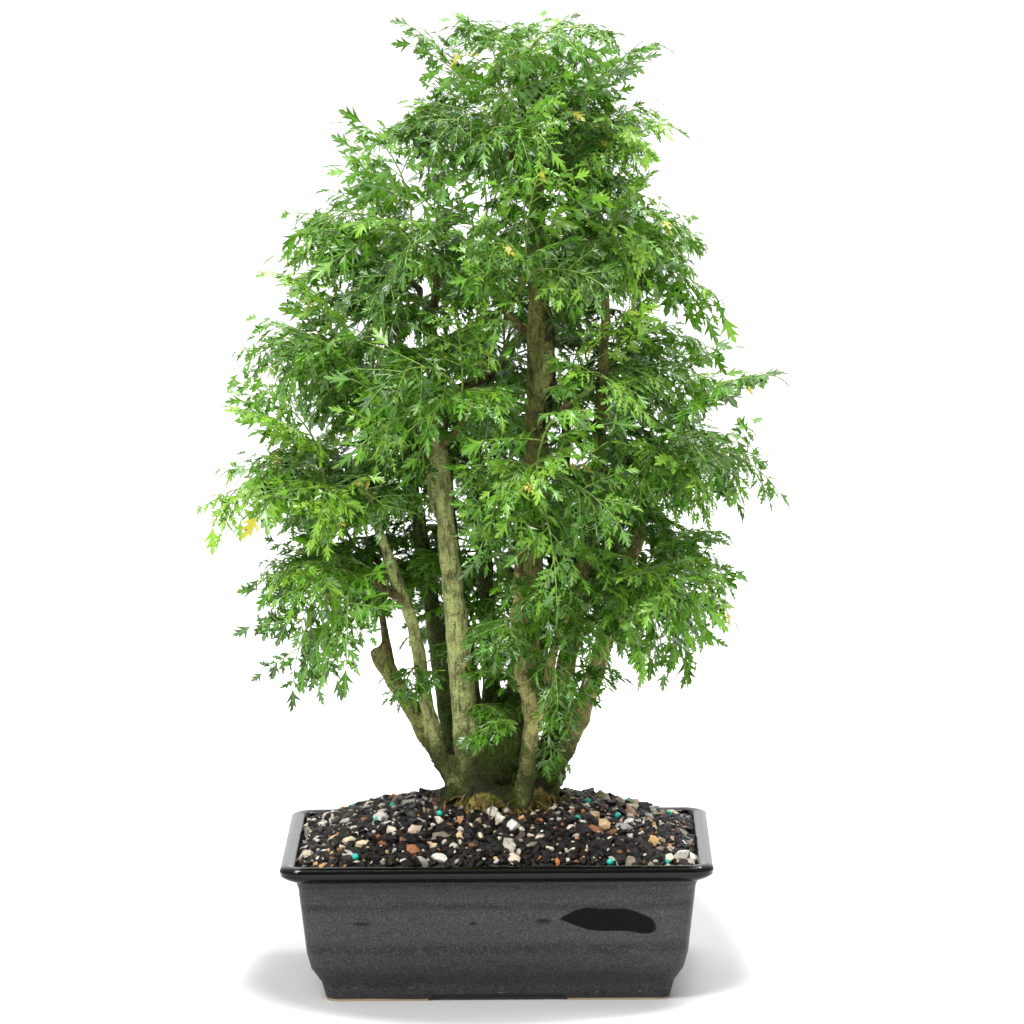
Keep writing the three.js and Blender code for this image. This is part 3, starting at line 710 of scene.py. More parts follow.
@dataclass(frozen=True)
class GlazeFinish:
    """A charcoal glaze with faint bands and a painted shadow line under the rim, black and glossy on the rim, bare
    clay under the foot.
    """

    body: Any = srgb(58, 57, 59)
    band: Any = srgb(30, 30, 32)
    worn: Any = srgb(86, 85, 86)
    rim: Any = srgb(6, 5, 6)
    patch: Any = srgb(9, 6, 6)
    clay: Any = srgb(196, 176, 142)
    scuff: Any = srgb(140, 136, 128)
    # The level dark bands: how high each is and half how wide, in metres. The highest, just under the rim, is a
    # painted shadow line.
    bands_and_rim_shadow: tuple[Pair, ...] = ((0.047, 0.0022), (0.0265, 0.003), (0.0575, 0.0014))
    # The middle and half the size of the dark patch, and of the small dark marks beside it, in metres.
    patch_at: tuple[Pair, Pair] = ((0.0518, 0.0398), (0.0226, 0.0055))
    marks: tuple[tuple[Pair, Pair], ...] = (
        ((-0.063, 0.0392), (0.004, 0.0008)), ((-0.011, 0.0392), (0.002, 0.001)), ((0.0215, 0.0402), (0.0036, 0.0014)),
    )

    def material(self) -> Any:
        """Builds the material.

        Returns:
            The material of the pot.
        """
        s = Shader("charcoal_glaze")
        place = s.place()
        x, y, z = s.split(place)
        wander = s.noise(s.stretched(place, (14.0, 14.0, 60.0)), 1.0, 3.0)
        height = z + (wander - 0.5) * 0.006
        speckle = s.noise(place, 1100.0, 4.0, 0.75)
        fog = s.noise(s.stretched(place, (1.0, 1.0, 3.0)), 60.0, 4.0, 0.6)
        # Dark bands, the highest of them a painted shadow line under the rim.
        bands_and_rim_shadow: Any = 0.0
        for at, half in self.bands_and_rim_shadow:
            bands_and_rim_shadow = s.math("MAXIMUM", bands_and_rim_shadow, 1 - s.between(abs(height - at), 0.0, half * 1.6))
        body = s.mix(bands_and_rim_shadow * 0.6 + s.between(fog, 0.45, 0.75) * 0.4, self.body, self.band)
        body = s.mix((1 - s.between(speckle, 0.34, 0.5)) * 0.7, body, self.band)
        body = s.mix(s.between(speckle, 0.5, 0.66) * 0.6, body, self.worn)
        edge = (s.noise(place, 190.0, 3.0) - 0.5) * 0.5
        # The patch slopes down to the right and comes to a point at the left.
        lean = 0.0024 - s.between(x, 0.03, 0.052) * 0.0016 - s.between(x, 0.058, 0.076) * 0.0034
        blot = self._blot(s, x, z - lean, self.patch_at) + edge * 0.3
        narrow = (1 - s.between(x, 0.028, 0.044)) * abs(z - 0.0412) * 130.0
        patch = 1 - s.between(blot + narrow, 0.94, 1.04)
        for mark in self.marks:
            spot = self._blot(s, x, z, mark) + edge
            patch = s.math("MAXIMUM", patch, (1 - s.between(spot, 0.2, 1.5)) * 0.75)
        # Patch and marks are on the front alone.
        patch = patch * (1 - s.between(y, -0.056, -0.055))
        stained = s.mix(patch, body, self.patch)
        rim = s.between(z + (wander - 0.5) * 0.0012, 0.0592, 0.0603)
        glazed = s.mix(rim, stained, self.rim)
        scuffs = s.between(s.noise(s.stretched(place, (110.0, 110.0, 420.0)), 1.0, 5.0, 0.7), 0.58, 0.64)
        scuffs = scuffs * (1 - s.between(z, 0.0055, 0.008)) * s.between(z, 0.003, 0.0045) * 0.45
        scuffed = s.mix(scuffs, glazed, self.scuff)
        bare = 1 - s.between(z + (wander - 0.5) * 0.003, 0.0006, 0.0013)
        colour = s.mix(bare, scuffed, self.clay)
        rough = s.math("MAXIMUM", 0.42 - rim * 0.36 + speckle * 0.1, bare * 0.85)
        coat = 0.14 - patch * 0.13 + rim * (0.16 + s.between(z, 0.0662, 0.0672) * 0.5)
        more = {"Specular IOR Level": 0.07, "Coat Weight": coat, "Coat Roughness": 0.06}
        return s.done(colour, rough, s.bump(speckle * 0.4 + fog, 0.0006, 0.3), more)

    @staticmethod
    def _blot(s: Shader, x: Wire, z: Wire, oval: tuple[Pair, Pair]) -> Wire:
        """Gives a distance that is 1 on the edge of a blunt oval with its middle and half its size."""
        (right, high), (half_wide, half_high) = oval
        across = abs((x - right) * (1 / half_wide)) ** 4.0
        upward = abs((z - high) * (1 / half_high)) ** 2.5
        return s.math("POWER", across + upward, 0.4)


@dataclass(frozen=True)
class GritFinish:
    """Crumbs of the growing mix. Each takes its own colour from a list."""

    name: str
    colours: tuple[Any, ...]
    rough: float
    veins: float
    shade: Any = (0.42, 0.4, 0.38, 1.0)

    def material(self) -> Any:
        """Builds the material.

        Returns:
            The material of one kind of grit.
        """
        s = Shader(self.name)
        place = s.place()
        last = len(self.colours) - 1
        stops = [(i / last, colour) for i, colour in enumerate(self.colours)]
        base = s.ramp(s.attribute("tone"), stops)
        clouds = s.noise(place, 520.0, 4.0, 0.65)
        dark = s.mix(1.0, base, self.shade, "MULTIPLY")
        colour = s.mix(s.between(clouds, 0.42, 0.72) * self.veins * 2.4, base, dark)
        pits = s.noise(place, 1700.0, 3.0)
        more = {"Specular IOR Level": 0.3}
        return s.done(colour, self.rough - clouds * 0.12, s.bump(pits + clouds, 0.0007, 0.7), more)


@dataclass(frozen=True)
class PlainFinish:
    """Two clouded colours under a fine grain, for compost and small plain pieces."""

    name: str
    first: Any
    second: Any
    clouds: float
    grain: float
    rough: float
    depth: float = 0.0002

    def material(self) -> Any:
        """Builds the material.

        Returns:
            The material of the compost, the beads or the drain screens.
        """
        s = Shader(self.name)
        clouds = s.noise(s.place(), self.clouds, 4.0)
        grain = s.noise(s.place(), self.grain, 2.0)
        colour = s.mix(s.between(clouds, 0.42, 0.72) * 0.8, self.first, self.second)
        return s.done(colour, self.rough + clouds * 0.22, s.bump(grain, self.depth, 0.5), {})


def made(finish: Any) -> Any:
    """Gives a field that holds the material of a finish."""
    return field(default_factory=finish.material)


@dataclass(frozen=True)
class Finishes:
    """Every material of the bonsai, each built once."""

    leaf: Any = made(LeafFinish())
    stalk: Any = made(StalkFinish())
    bark: Any = made(BarkFinish())
    glaze: Any = made(GlazeFinish())
    soil: Any = made(PlainFinish("compost", srgb(22, 18, 16), srgb(58, 46, 36), 240.0, 700.0, 0.7, 0.0014))
    beads: Any = made(PlainFinish("plant_food", srgb(38, 190, 168), srgb(20, 130, 120), 1200.0, 1600.0, 0.3))
    screen: Any = made(PlainFinish("screen_plastic", srgb(34, 36, 35), srgb(72, 66, 58), 300.0, 3000.0, 0.5))
    chunks: Any = made(
        GritFinish(
            "bark_chunks",
            (srgb(9, 7, 6), srgb(18, 15, 13), srgb(30, 24, 20), srgb(12, 10, 9), srgb(46, 37, 30)),
            0.5,
            0.2,
        )
    )
    pebbles: Any = made(
        GritFinish(
            "pebbles",
            (
                srgb(228, 214, 180), srgb(172, 168, 160), srgb(242, 238, 228), srgb(112, 110, 106),
                srgb(206, 164, 108), srgb(234, 224, 196), srgb(64, 62, 60), srgb(190, 122, 70),
                srgb(236, 232, 218), srgb(150, 144, 130),
            ),
            0.72,
            0.3,
        )
    )


@dataclass(frozen=True)
class Place:
    """A frond's place in the fan of its spray."""

    side: int
    turn: float
    rise: float
    droop: float
    length: float
    lean: float


@dataclass(frozen=True)
class Tier:
    """A ring of sprays round the crown, or the stretch of one that sweep gives."""

    z: float
    x: float
    y: float
    reach_x: float
    reach_y: float
    first: float
    sweep: float
    count: int
    lift: float
    climb: float


@dataclass
class Spray:
    """A leafy shoot: where its tip is and which way it faces."""

    name: str
    hub: Points
    turn: float
    climb: float
    lift: float
    fan: tuple[Place, ...]
    tier: int
    number: int

    def ways(self) -> tuple[Points, Points, Points]:
        """Gives the directions along the shoot, to its left and over it."""
        climb = math.radians(self.climb)
        along = level(self.turn) * math.cos(climb) + UP * math.sin(climb)
        left = level(self.turn + 90)
        return along, left, np.cross(along, left)


@dataclass
class Frond:
    """One arched leaf: how its rib runs and how long it is."""

    root: Points
    turn: float
    rise: float
    droop: float
    lean: float
    length: float
    tone: float
    age: float
    arch: float = 0.7
    steps: int = 24

    def rib(self, share: float) -> tuple[Points, Points, Points, Points]:
        """Gives the rib's place and directions at a share of its length.

        Args:
            share: From 0 at the shoot to 1 at the tip.

        Returns:
            The place, and the directions along, across and out of the blade.
        """
        out, side = level(self.turn), level(self.turn + 90)
        steps = (np.arange(self.steps) + 0.5) * share / self.steps
        angles = np.radians(self.rise - self.droop * steps**self.arch)
        reach = float(np.cos(angles).sum()) * share / self.steps
        height = float(np.sin(angles).sum()) * share / self.steps
        here = math.radians(self.rise - self.droop * share**self.arch)
        along = out * math.cos(here) + UP * math.sin(here)
        above = np.cross(along, side)
        lean = math.radians(self.lean)
        across = side * math.cos(lean) + above * math.sin(lean)
        place = self.root + (out * reach + UP * height) * self.length
        return place, along, across, np.cross(along, across)


@dataclass(frozen=True)
class Habit:
    """How one kind of small frond grows: the middle of each measure, and how far chance moves it."""

    turn: float
    rise: Pair
    droop: Pair
    lean: float
    tone: Pair
    length: Pair

    def frond(self, root: Points, turn: float, raised: float, chance: list[float]) -> Frond:
        """Lays a frond.

        Args:
            root: Where it grows.
            turn: The middle of its turn.
            raised: How much more it rises than is its habit.
            chance: Draws for the measures in their order and for its age.

        Returns:
            The frond.
        """
        turned, rise, droop, lean, tone, length, age = chance
        return Frond(
            root, turn + self.turn * turned, self.rise[0] + raised + self.rise[1] * rise,
            self.droop[0] + self.droop[1] * droop, self.lean * lean, self.length[0] + self.length[1] * length,
            self.tone[0] + self.tone[1] * tone, 0.5 + 0.5 * age,
        )


class Skeleton:
    """The lines and leaf seats of one piece, before leaves and tubes are grown on them."""

    KINDS = {
        "seat": "BOOLEAN", "radius": "FLOAT", "wood": "FLOAT", "form": "INT", "size": "FLOAT", "tone": "FLOAT",
        "age": "FLOAT", "toward": "FLOAT_VECTOR", "facing": "FLOAT_VECTOR",
    }

    def __init__(self) -> None:
        """Starts with nothing."""
        self.places: list[Points] = []
        self.edges: list[tuple[int, int]] = []
        self.values: dict[str, list[Any]] = {name: [] for name in self.KINDS}

    def point(self, place: Points, **values: Any) -> int:
        """Adds a point with its attributes and gives its number."""
        self.places.append(place)
        for name, known in self.values.items():
            known.append(values.get(name, 0))
        return len(self.places) - 1

    def line(self, places: list[Points], radii: Pair, wood: Pair) -> None:
        """Adds a line that becomes a tube.

        Args:
            places: Its places.
            radii: Its radius at the start and at the end.
            wood: How woody it is at the start and at the end.
        """
        for i, place in enumerate(places):
            share = i / max(1, len(places) - 1)
            radius, woody = (ends[0] + (ends[1] - ends[0]) * share for ends in (radii, wood))
            here = self.point(place, toward=UP, facing=UP, radius=radius * MM, wood=woody)
            if i > 0:
                self.edges.append((here - 1, here))

    def object(self, name: str) -> Any:
        """Makes the object that the tree grows from.

        Args:
            name: The object's name.

        Returns:
            The object.
        """
        made = new_object(name, self.places, [], self.edges)
        for key, kind in self.KINDS.items():
            set_attribute(made, key, kind, self.values[key])
        return made


class LeafForms:
    """The leaflet shapes: deeply cut blades of a length of 1, folded along the midrib and curled."""

    # Each outline is the left half from the foot towards the tip: how far out, and how far along.
    OUTLINES: tuple[tuple[Pair, ...], ...] = (
        ((0.03, 0.1), (0.07, 0.18), (0.26, 0.46), (0.07, 0.38), (0.22, 0.72), (0.06, 0.62), (0.08, 0.86)),
        ((0.03, 0.08), (0.06, 0.15), (0.2, 0.36), (0.07, 0.32), (0.22, 0.64), (0.06, 0.54), (0.09, 0.84)),
        ((0.03, 0.12), (0.08, 0.2), (0.38, 0.6), (0.09, 0.42), (0.24, 0.84), (0.06, 0.66), (0.08, 0.88)),
        ((0.03, 0.1), (0.07, 0.24), (0.15, 0.48), (0.06, 0.46), (0.13, 0.72), (0.05, 0.68), (0.06, 0.86)),
        ((0.03, 0.1), (0.08, 0.14), (0.3, 0.4), (0.08, 0.34), (0.3, 0.74), (0.08, 0.56), (0.1, 0.84)),
    )
    # Each curl is the bend to one side, the droop of the tip and the twist, in radians.
    CURLS: tuple[Triple, ...] = ((0.12, 0.2, 0.5), (-0.14, 0.42, -0.7))
    MIDRIB = (0.0, 0.33, 0.62)
    # The place on the midrib that each step of the outline fans out from.
    FANS = (0, 1, 1, 2, 2, 2, 2)
    COUNT = 10
    BROAD = 4

    def build(self) -> Any:
        """Makes the shapes in a collection of their own.

        Returns:
            The collection.
        """
        forms = bpy.data.collections.new("leaf_forms")
        for i, outline in enumerate(self.OUTLINES):
            for j, curl in enumerate(self.CURLS):
                forms.objects.link(self._form(f"leaf_form_{i}{j}", outline, curl, 2 * i + j))
        return forms

    def _form(self, name: str, outline: tuple[Pair, ...], curl: Triple, number: int) -> Any:
        """Makes one shape.

        Args:
            name: Its name.
            outline: The left half of its outline.
            curl: How it bends, droops and twists.
            number: Which shape it is, for its uneven lobes.

        Returns:
            The object, not yet linked.
        """
        places = [*((0.0, y) for y in self.MIDRIB), (0.0, 1.0)]
        ends = len(self.MIDRIB)
        sides = []
        for hand in (-1, 1):
            row = []
            for j, (x, y) in enumerate(outline):
                wander = 1 + 0.2 * draw(number, j, hand + 3)
                row.append(len(places))
                places.append((hand * x * wander, y + 0.04 * draw(number, j, hand + 7)))
            sides.append(row)
        faces = []
        for hand, row in zip((-1, 1), sides, strict=True):
            rim = [0, *row, ends]
            fan = [(rib, rim[i + 1], rim[i + 2]) for i, rib in enumerate(self.FANS)]
            fan += [(0, rim[2], 1), (1, rim[4], 2)]
            faces += [face[::-1] for face in fan] if hand < 0 else fan
        x, y = np.array(places).T
        aside, droop, twist = curl
        z = 0.34 * np.abs(x) - 0.5 * x**2
        turn = twist * y
        bent = x * np.cos(turn) - z * np.sin(turn) + aside * y**2
        raised = x * np.sin(turn) + z * np.cos(turn) - droop * 0.6 * y**2.2
        form = loose_object(name, np.stack([bent, y * (1 - 0.1 * droop), raised], axis=1), faces)
        form.data.shade_smooth()
        wide = max(p[0] for p in outline)
        set_attribute(form, "blade", "FLOAT_VECTOR", np.stack([x / wide, y, 0 * x], axis=1))
        return form


class SprayTree(Geometry):
    """Grows leaflets on the seats and tubes along the lines of a spray."""

    def __init__(self) -> None:
        """Builds the tree."""
        super().__init__("grow_spray")
        forms = self.given("Leaf forms", "NodeSocketCollection")
        sides = self.given("Stalk sides", "NodeSocketInt")
        leaf = self.given("Leaf finish", "NodeSocketMaterial")
        stalk = self.given("Stalk finish", "NodeSocketMaterial")
        inputs = {"Geometry": self.start(), "Selection": self.read("seat", "BOOLEAN")}
        parted = self.node("GeometryNodeSeparateGeometry", {"domain": "POINT"}, inputs)
        toward, facing = self.read("toward", "FLOAT_VECTOR"), self.read("facing", "FLOAT_VECTOR")
        settings = {"primary_axis": "Y", "secondary_axis": "Z"}
        inputs = {"Primary Axis": toward, "Secondary Axis": facing}
        turned = self.wire(self.node("FunctionNodeAxesToRotation", settings, inputs))
        seats = self.wire(parted, "Selection")
        blades = self.planted(seats, forms, self.read("form", "INT"), turned, self.read("size"))
        lines = self.wire(self.node("GeometryNodeMeshToCurve", {}, {0: self.wire(parted, "Inverted")}))
        ring = self.wire(self.node("GeometryNodeCurvePrimitiveCircle", {}, {"Resolution": sides, "Radius": 1.0}))
        inputs = {"Curve": lines, "Profile Curve": ring, "Scale": self.read("radius"), "Fill Caps": True}
        tubes = self.wire(self.node("GeometryNodeCurveToMesh", {}, inputs))
        joined = self.node("GeometryNodeJoinGeometry", {}, {0: self.finished(blades, leaf)})
        self.tree.links.new(self.finished(tubes, stalk).socket, joined.inputs[0])
        self.end(self.wire(joined))


@dataclass
class Crown:
    """The sprays of leaves: each stands where its solid does and is dressed with fine leaflets."""

    finishes: Finishes
    section: float = 3.2
    foot_radius: float = 1.9
    tip_radius: float = 1.3
    length: float = 70.0
    least: float = 24.0
    trim: float = 0.97
    share_margin: float = 1.2
    stations: tuple[float, ...] = (0.0, 0.26, 0.48, 0.68, 0.85)
    shares: tuple[float, ...] = (1.0, 0.85, 0.7)
    gain: float = 1.06
    top: Triple = (16.0, 0.0, 443.0)
    top_climb: float = 84
    fan: tuple[Place, ...] = (
        Place(1, 3, 97, 80, 1, -5), Place(2, -44, 68, 118, 1, -30), Place(0, 61, 34, 72, 1, 55),
        Place(4, 1, 5, 76, 1, -38), Place(3, -55, 17, 46, 0.96, -71),
    )
    top_fan: tuple[Place, ...] = (
        Place(4, 0, 66, 111, 1, 18), Place(1, 144, 61, 96, 0.96, 27), Place(3, -72, 81, 116, 0.98, -22),
        Place(0, 72, 23, 108, 0.98, 25), Place(2, -144, 89, 117, 0.96, -27),
    )
    tiers: tuple[Tier, ...] = (
        Tier(204, -3, -3, 80, 58, -18, 224, 5, -15, 26),
        Tier(249, -1, 5, 92, 80, -78, 290, 6, -13, 24),
        Tier(296, -6, 4, 70, 69, -99, 360, 6, 3, 32),
        Tier(348, 3, 1, 59, 54, -80, 360, 6, 12, 39),
        Tier(408, 14, 1, 30, 27, -108, 360, 4, 7, 45),
    )
    # A pair of side leaflets of the solid: angle, length and sag, which a pinna follows.
    pinnae: tuple[Triple, ...] = ((64, 0.47, 0.2), (55, 0.4, 0.18), (42, 0.29, 0.12))
    # The outer places of a pinna: shares of its length and of its width, and how far ahead. The first
    # pair has one place more.
    shoulders: tuple[tuple[Triple, ...], ...] = (
        ((1, 1, 0.03), (0.62, 0.66, 0.07), (0.6, 0.48, 0.14)), ((1, 1, 0.03), (0.48, 0.55, 0.11)),
    )
    # Where leaflets sit on the rib itself, beyond the pinnae.
    seats: tuple[float, ...] = (0.37, 0.58, 0.77, 0.87, 0.94)
    # The stalks' radii at the foot and at the tip.
    rib_radii: Pair = (0.68, 0.24)
    pinna_radii: Pair = (0.34, 0.18)
    shoot_radii: Pair = (1.9, 1.1)
    leaflet_sizes: Pair = (7.0, 15.5)
    stalk_sides: int = 3
    # The fronds that fill a spray between its main ones: how many, how they grow, how far round the
    # shoot they spread, how much lower the outermost rise, and how short they may be.
    fillers: int = 7
    filling: Habit = Habit(14, (62, 16), (92, 22), 34, (0.42, 0.3), (47, 9))
    filler_spread: float = 150
    filler_fall: float = 42
    filler_least: float = 30.0
    # The fronds on stems and branches inside the crown: how they grow, how far apart they are, and
    # the height under which a stem that is seen, another stem and a branch are bare.
    # Their lower tone is a darker green: painted shade for the inside of the crown.
    inside: Habit = Habit(100, (52, 26), (88, 26), 36, (0.34, 0.28), (46, 9))
    spacings: Pair = (12.0, 12.5)
    bare: Triple = (212.0, 165.0, 150.0)
    # The small fronds low on the stems: where each grows, its turn, its rise and its length.
    sprouts: tuple[tuple[Triple, float, float, float], ...] = (
        ((-18, -19, 150), 205, 40, 24), ((-13, -18, 132), -40, 55, 22), ((10, -33, 128), 215, 45, 26),
        ((10, -33, 148), 150, 60, 28), ((24, -32, 142), -50, 30, 46), ((27, -32, 152), -20, 40, 50),
        ((27, -30, 150), -95, 20, 40), ((24, -12, 124), -80, -10, 26), ((-2, -12, 120), -110, 50, 20),
        ((12, -36, 196), -75, 45, 46), ((30, -31, 178), -60, 40, 50), ((36, -33, 190), -105, 50, 48),
        ((12, -34, 178), -110, 35, 40), ((24, -31, 168), -80, 15, 44), ((4, -14, 176), -85, 30, 40),
        ((8, -12, 150), -70, 40, 34), ((6, 4, 170), -100, 40, 44), ((22, 2, 182), -70, 30, 46),
        ((-8, 10, 160), -110, 40, 40), ((2, 16, 134), -60, 50, 32), ((-4, 20, 176), -80, 50, 42),
        ((9, 16, 152), -110, 55, 36), ((20, -1, 376), -100, 30, 48), ((21, 0, 352), -60, 40, 50),
        ((21, 0, 362), -130, 35, 50), ((19, 4, 244), -100, 40, 50), ((18, 4, 232), -60, 30, 50),
        ((-44, -12, 186), 220, 35, 36), ((-36, -12, 152), 250, 30, 30),
    )
    # Before these places no leaflet grows, so that the stems behind show: the middle's x and z, half the
    # width, half the height, and the y from which it reaches forward.
    windows: tuple[tuple[float, float, float, float, float], ...] = (
        (-21, 205, 8.5, 72, -14), (20, 298, 8, 36, 4), (49, 278, 5, 26, 0), (-46, 192, 8, 34, -8),
        (13, 128, 6, 30, -29), (78, 104, 46, 34, 60),
    )
    sprout_droop: float = 96
    # The lines and seats of the piece that is being grown.
    skeleton: Any = None

    def sprays(self) -> list[Spray]:
        """Places the sprays as the solids have them.

        Returns:
            The sprays in order.
        """
        found = []
        for t, tier in enumerate(self.tiers):
            step = 360 / tier.count if tier.sweep == 360 else tier.sweep / (tier.count - 1)
            for k in range(tier.count):
                turn = tier.first + k * step + 5 * draw(t, k, 1)
                x = tier.x + tier.reach_x * math.cos(math.radians(turn))
                y = tier.y + tier.reach_y * math.sin(math.radians(turn))
                hub = np.array([x, y, tier.z + 9 * draw(t, k, 2)])
                found.append(Spray(f"leaf_spray_{t + 1}_{k + 1}", hub, turn, tier.climb, tier.lift, self.fan, t, k))
        top = np.array(self.top)
        found.append(Spray("leaf_spray_top", top, 0, self.top_climb, 0, self.top_fan, len(self.tiers), 0))
        return found

    def corner(self, spray: Spray, section: int, corner: int) -> Points:
        """Gives a corner of a shoot, at a number of sections down from its tip."""
        along, left, over = spray.ways()
        sides = len(spray.fan)
        turn = math.radians(-90 + (corner - sides + 0.5) * 360 / sides)
        radius = self.tip_radius + (self.foot_radius - self.tip_radius) * section / (sides + 1)
        return spray.hub - along * self.section * section + radius * (left * math.cos(turn) + over * math.sin(turn))

    def foot(self, spray: Spray) -> Points:
        """Gives the foot of a spray's shoot."""
        return spray.hub - spray.ways()[0] * self.section * (len(spray.fan) + 1)

    def _outline(self, frond: Frond) -> Points:
        """Gives the tips of a frond's pinnae and its end, for a length of 1 from a root at nought.

        Args:
            frond: The frond.

        Returns:
            The places.
        """
        bare = Frond(np.zeros(3), frond.turn, frond.rise, frond.droop, frond.lean, 1.0, 0, 0)
        found = []
        for i, (angle, length, sag) in enumerate(self.pinnae):
            place, along, across, normal = bare.rib(self.stations[i + 1])
            forward, out = length * math.cos(math.radians(angle)), length * math.sin(math.radians(angle))
            for hand in (-1, 1):
                for towards, wide, ahead in self.shoulders[min(i, 1)]:
                    aside = across * hand * wide * out - normal * sag * length * wide**1.6
                    found.append(place + along * (towards * forward + ahead) + aside)
        place, along, _, normal = bare.rib(self.stations[-1])
        found.append(place + along * 0.17 - normal * 0.03)
        return np.array(found)

    def room(self, frond: Frond, wanted: float, spray: Spray, hubs: Points) -> float:
        """Gives the length at which a frond keeps to its spray's share of the crown.

        Args:
            frond: The frond.
            wanted: The length that it would like.
            spray: Its spray.
            hubs: The other sprays' hubs.

        Returns:
            The length.
        """
        outline = self._outline(frond)
        least = 2 * self.share_margin * np.linalg.norm(hubs - spray.hub, axis=1)
        length = wanted
        while length > self.least:
            places = frond.root + outline * length
            own = ((places - spray.hub) ** 2).sum(1)
            other = ((places[:, None] - hubs[None]) ** 2).sum(2)
            if (other - own[:, None] > least[None]).all():
                break
            length *= self.trim
        return length

    def fronds(self, spray: Spray, hubs: Points) -> list[Frond]:
        """Lays the fronds of a spray as its solid has them.

        Args:
            spray: The spray.
            hubs: The other sprays' hubs.

        Returns:
            The fronds.
        """
        t, k, sides = spray.tier, spray.number, len(spray.fan)
        found = []
        for f, place in enumerate(spray.fan):
            after = (place.side + 1) % sides
            corners = [(f + 1, place.side), (f + 1, after), (f, after), (f, place.side)]
            root = sum(self.corner(spray, *c) for c in corners) / 4
            length, rise, droop, lean, turn, tone, age = (draw(t, k, n + f) for n in range(10, 80, 10))
            wanted = self.length * place.length * (1 + 0.08 * length)
            best: Frond | None = None
            for share in self.shares:
                frond = Frond(
                    root, spray.turn + place.turn * share + 6 * turn, place.rise + spray.lift + 7 * rise,
                    place.droop * (1 + 0.12 * droop), place.lean + 10 * lean, 1.0, 0.5 + 0.36 * tone, 0.5 + 0.5 * age,
                )
                frond.length = self.room(frond, wanted, spray, hubs)
                if best is None or frond.length > self.gain * best.length:
                    best = frond
            found.append(best)
        return found

    def cleared(self, place: Points) -> bool:
        """Tells whether a place is before a stem that stands free, as seen from a little above."""
        x, y, z = place
        return any(
            y < near and ((x - a) / wide) ** 2 + ((z + 0.145 * (y - near) - b) / high) ** 2 < 1
            for a, b, wide, high, near in self.windows
        )

    def extra_fronds(self, spray: Spray, hubs: Points) -> list[Frond]:
        """Adds the smaller fronds that fill a spray between its main ones.

        Args:
            spray: The spray.
            hubs: The other sprays' hubs.

        Returns:
            The fronds.
        """
        t, k = spray.tier, spray.number
        along, _, _ = spray.ways()
        found = []
        for f in range(self.fillers):
            share = (f + 0.5) / self.fillers
            spread = share * 2 - 1
            turn = spray.turn + self.filler_spread * spread * (1 if f % 2 else -1)
            root = spray.hub - along * self.section * (0.2 + 5.2 * share)
            chance = [draw(t, k, n + f) for n in (110, 120, 140, 150, 160, 130, 170)]
            frond = self.filling.frond(root, turn, 0.6 * spray.lift - self.filler_fall * abs(spread), chance)
            frond.length = max(self.filler_least, self.room(frond, frond.length, spray, hubs))
            if not self.cleared(frond.rib(0.6)[0]):
                found.append(frond)
        return found

    def grow(self, frond: Frond, seed: int) -> None:
        """Adds a frond's ribs and leaflet seats.

        Args:
            frond: The frond.
            seed: Its own seed.
        """
        middle = [frond.rib(s)[0] for s in np.linspace(0, 1.0, 9)]
        ends = [i for i, place in enumerate(middle) if i > 1 and self.cleared(place)]
        self.skeleton.line(middle[: ends[0]] if ends else middle, self.rib_radii, (0.25, 0.0))
        last = len(self.pinnae)
        for i, (angle, length, sag) in enumerate(self.pinnae):
            for hand in (-1, 1):
                at = self.stations[i + 1] + 0.018 * hand * (1 if i % 2 else -1)
                self._pinna(frond, (at, angle, length, sag), hand, seed * 10 + i * 2 + (hand > 0))
        for n, at in enumerate(self.seats):
            place, along, across, normal = frond.rib(at)
            for hand in (-1, 1):
                toward = along * 0.62 + across * hand * 0.8 - normal * 0.1
                size = frond.length * (0.14 + 0.02 * draw(seed, n, hand + 2))
                self._leaflet(frond, place, toward, normal, size, seed * 100 + n * 2 + hand + last)
        place, along, across, normal = frond.rib(1.0)
        toward = along - normal * 0.15
        self._leaflet(frond, place, toward, normal, frond.length * 0.2, seed * 100 + 77, LeafForms.BROAD)

    def _pinna(self, frond: Frond, shape: tuple[float, float, float, float], hand: int, seed: int) -> None:
        """Adds a side branch of a frond with its leaflets.

        Args:
            frond: The frond.
            shape: Where it leaves the rib, its angle, its length and its sag in shares.
            hand: -1 for the right, 1 for the left.
            seed: Its own seed.
        """
        at, angle, length, sag = shape
        angle += 10 * draw(seed, 1, 1)
        length *= 1 + 0.15 * draw(seed, 1, 2)
        start, along, across, normal = frond.rib(at)
        forward, out = length * math.cos(math.radians(angle)), length * math.sin(math.radians(angle))

        def point(w: float) -> Points:
            """Gives the place at a share of the branch."""
            fall = normal * sag * length * max(w, 0.0) ** 1.6
            return start + frond.length * (along * (w * forward + 0.03 * w) + across * hand * w * out - fall)

        places = [point(w) for w in np.linspace(0, 1, 6)]
        if self.cleared(places[3]):
            return
        self.skeleton.line(places, self.pinna_radii, (0.0, 0.0))
        pairs = 2 + round(length * frond.length / 9)
        for n in range(pairs):
            w = 0.24 + 0.7 * n / pairs
            place = point(w)
            way = unit(point(w + 0.05) - point(w - 0.05))
            beside = unit(np.cross(normal, way))
            for side in (-1, 1):
                size = length * frond.length * (0.47 - 0.16 * w) * (1 + 0.24 * draw(seed, n, 5 + side))
                toward = way * (0.66 + 0.2 * draw(seed, n, 8 + side)) + beside * side * 0.74 - normal * 0.12
                self._leaflet(frond, place, toward, normal, size, seed * 100 + n * 2 + side)
        way, size = unit(point(1.0) - point(0.9)), length * frond.length * 0.42
        self._leaflet(frond, point(1.0), way, normal, size, seed * 100 + 55, LeafForms.BROAD)

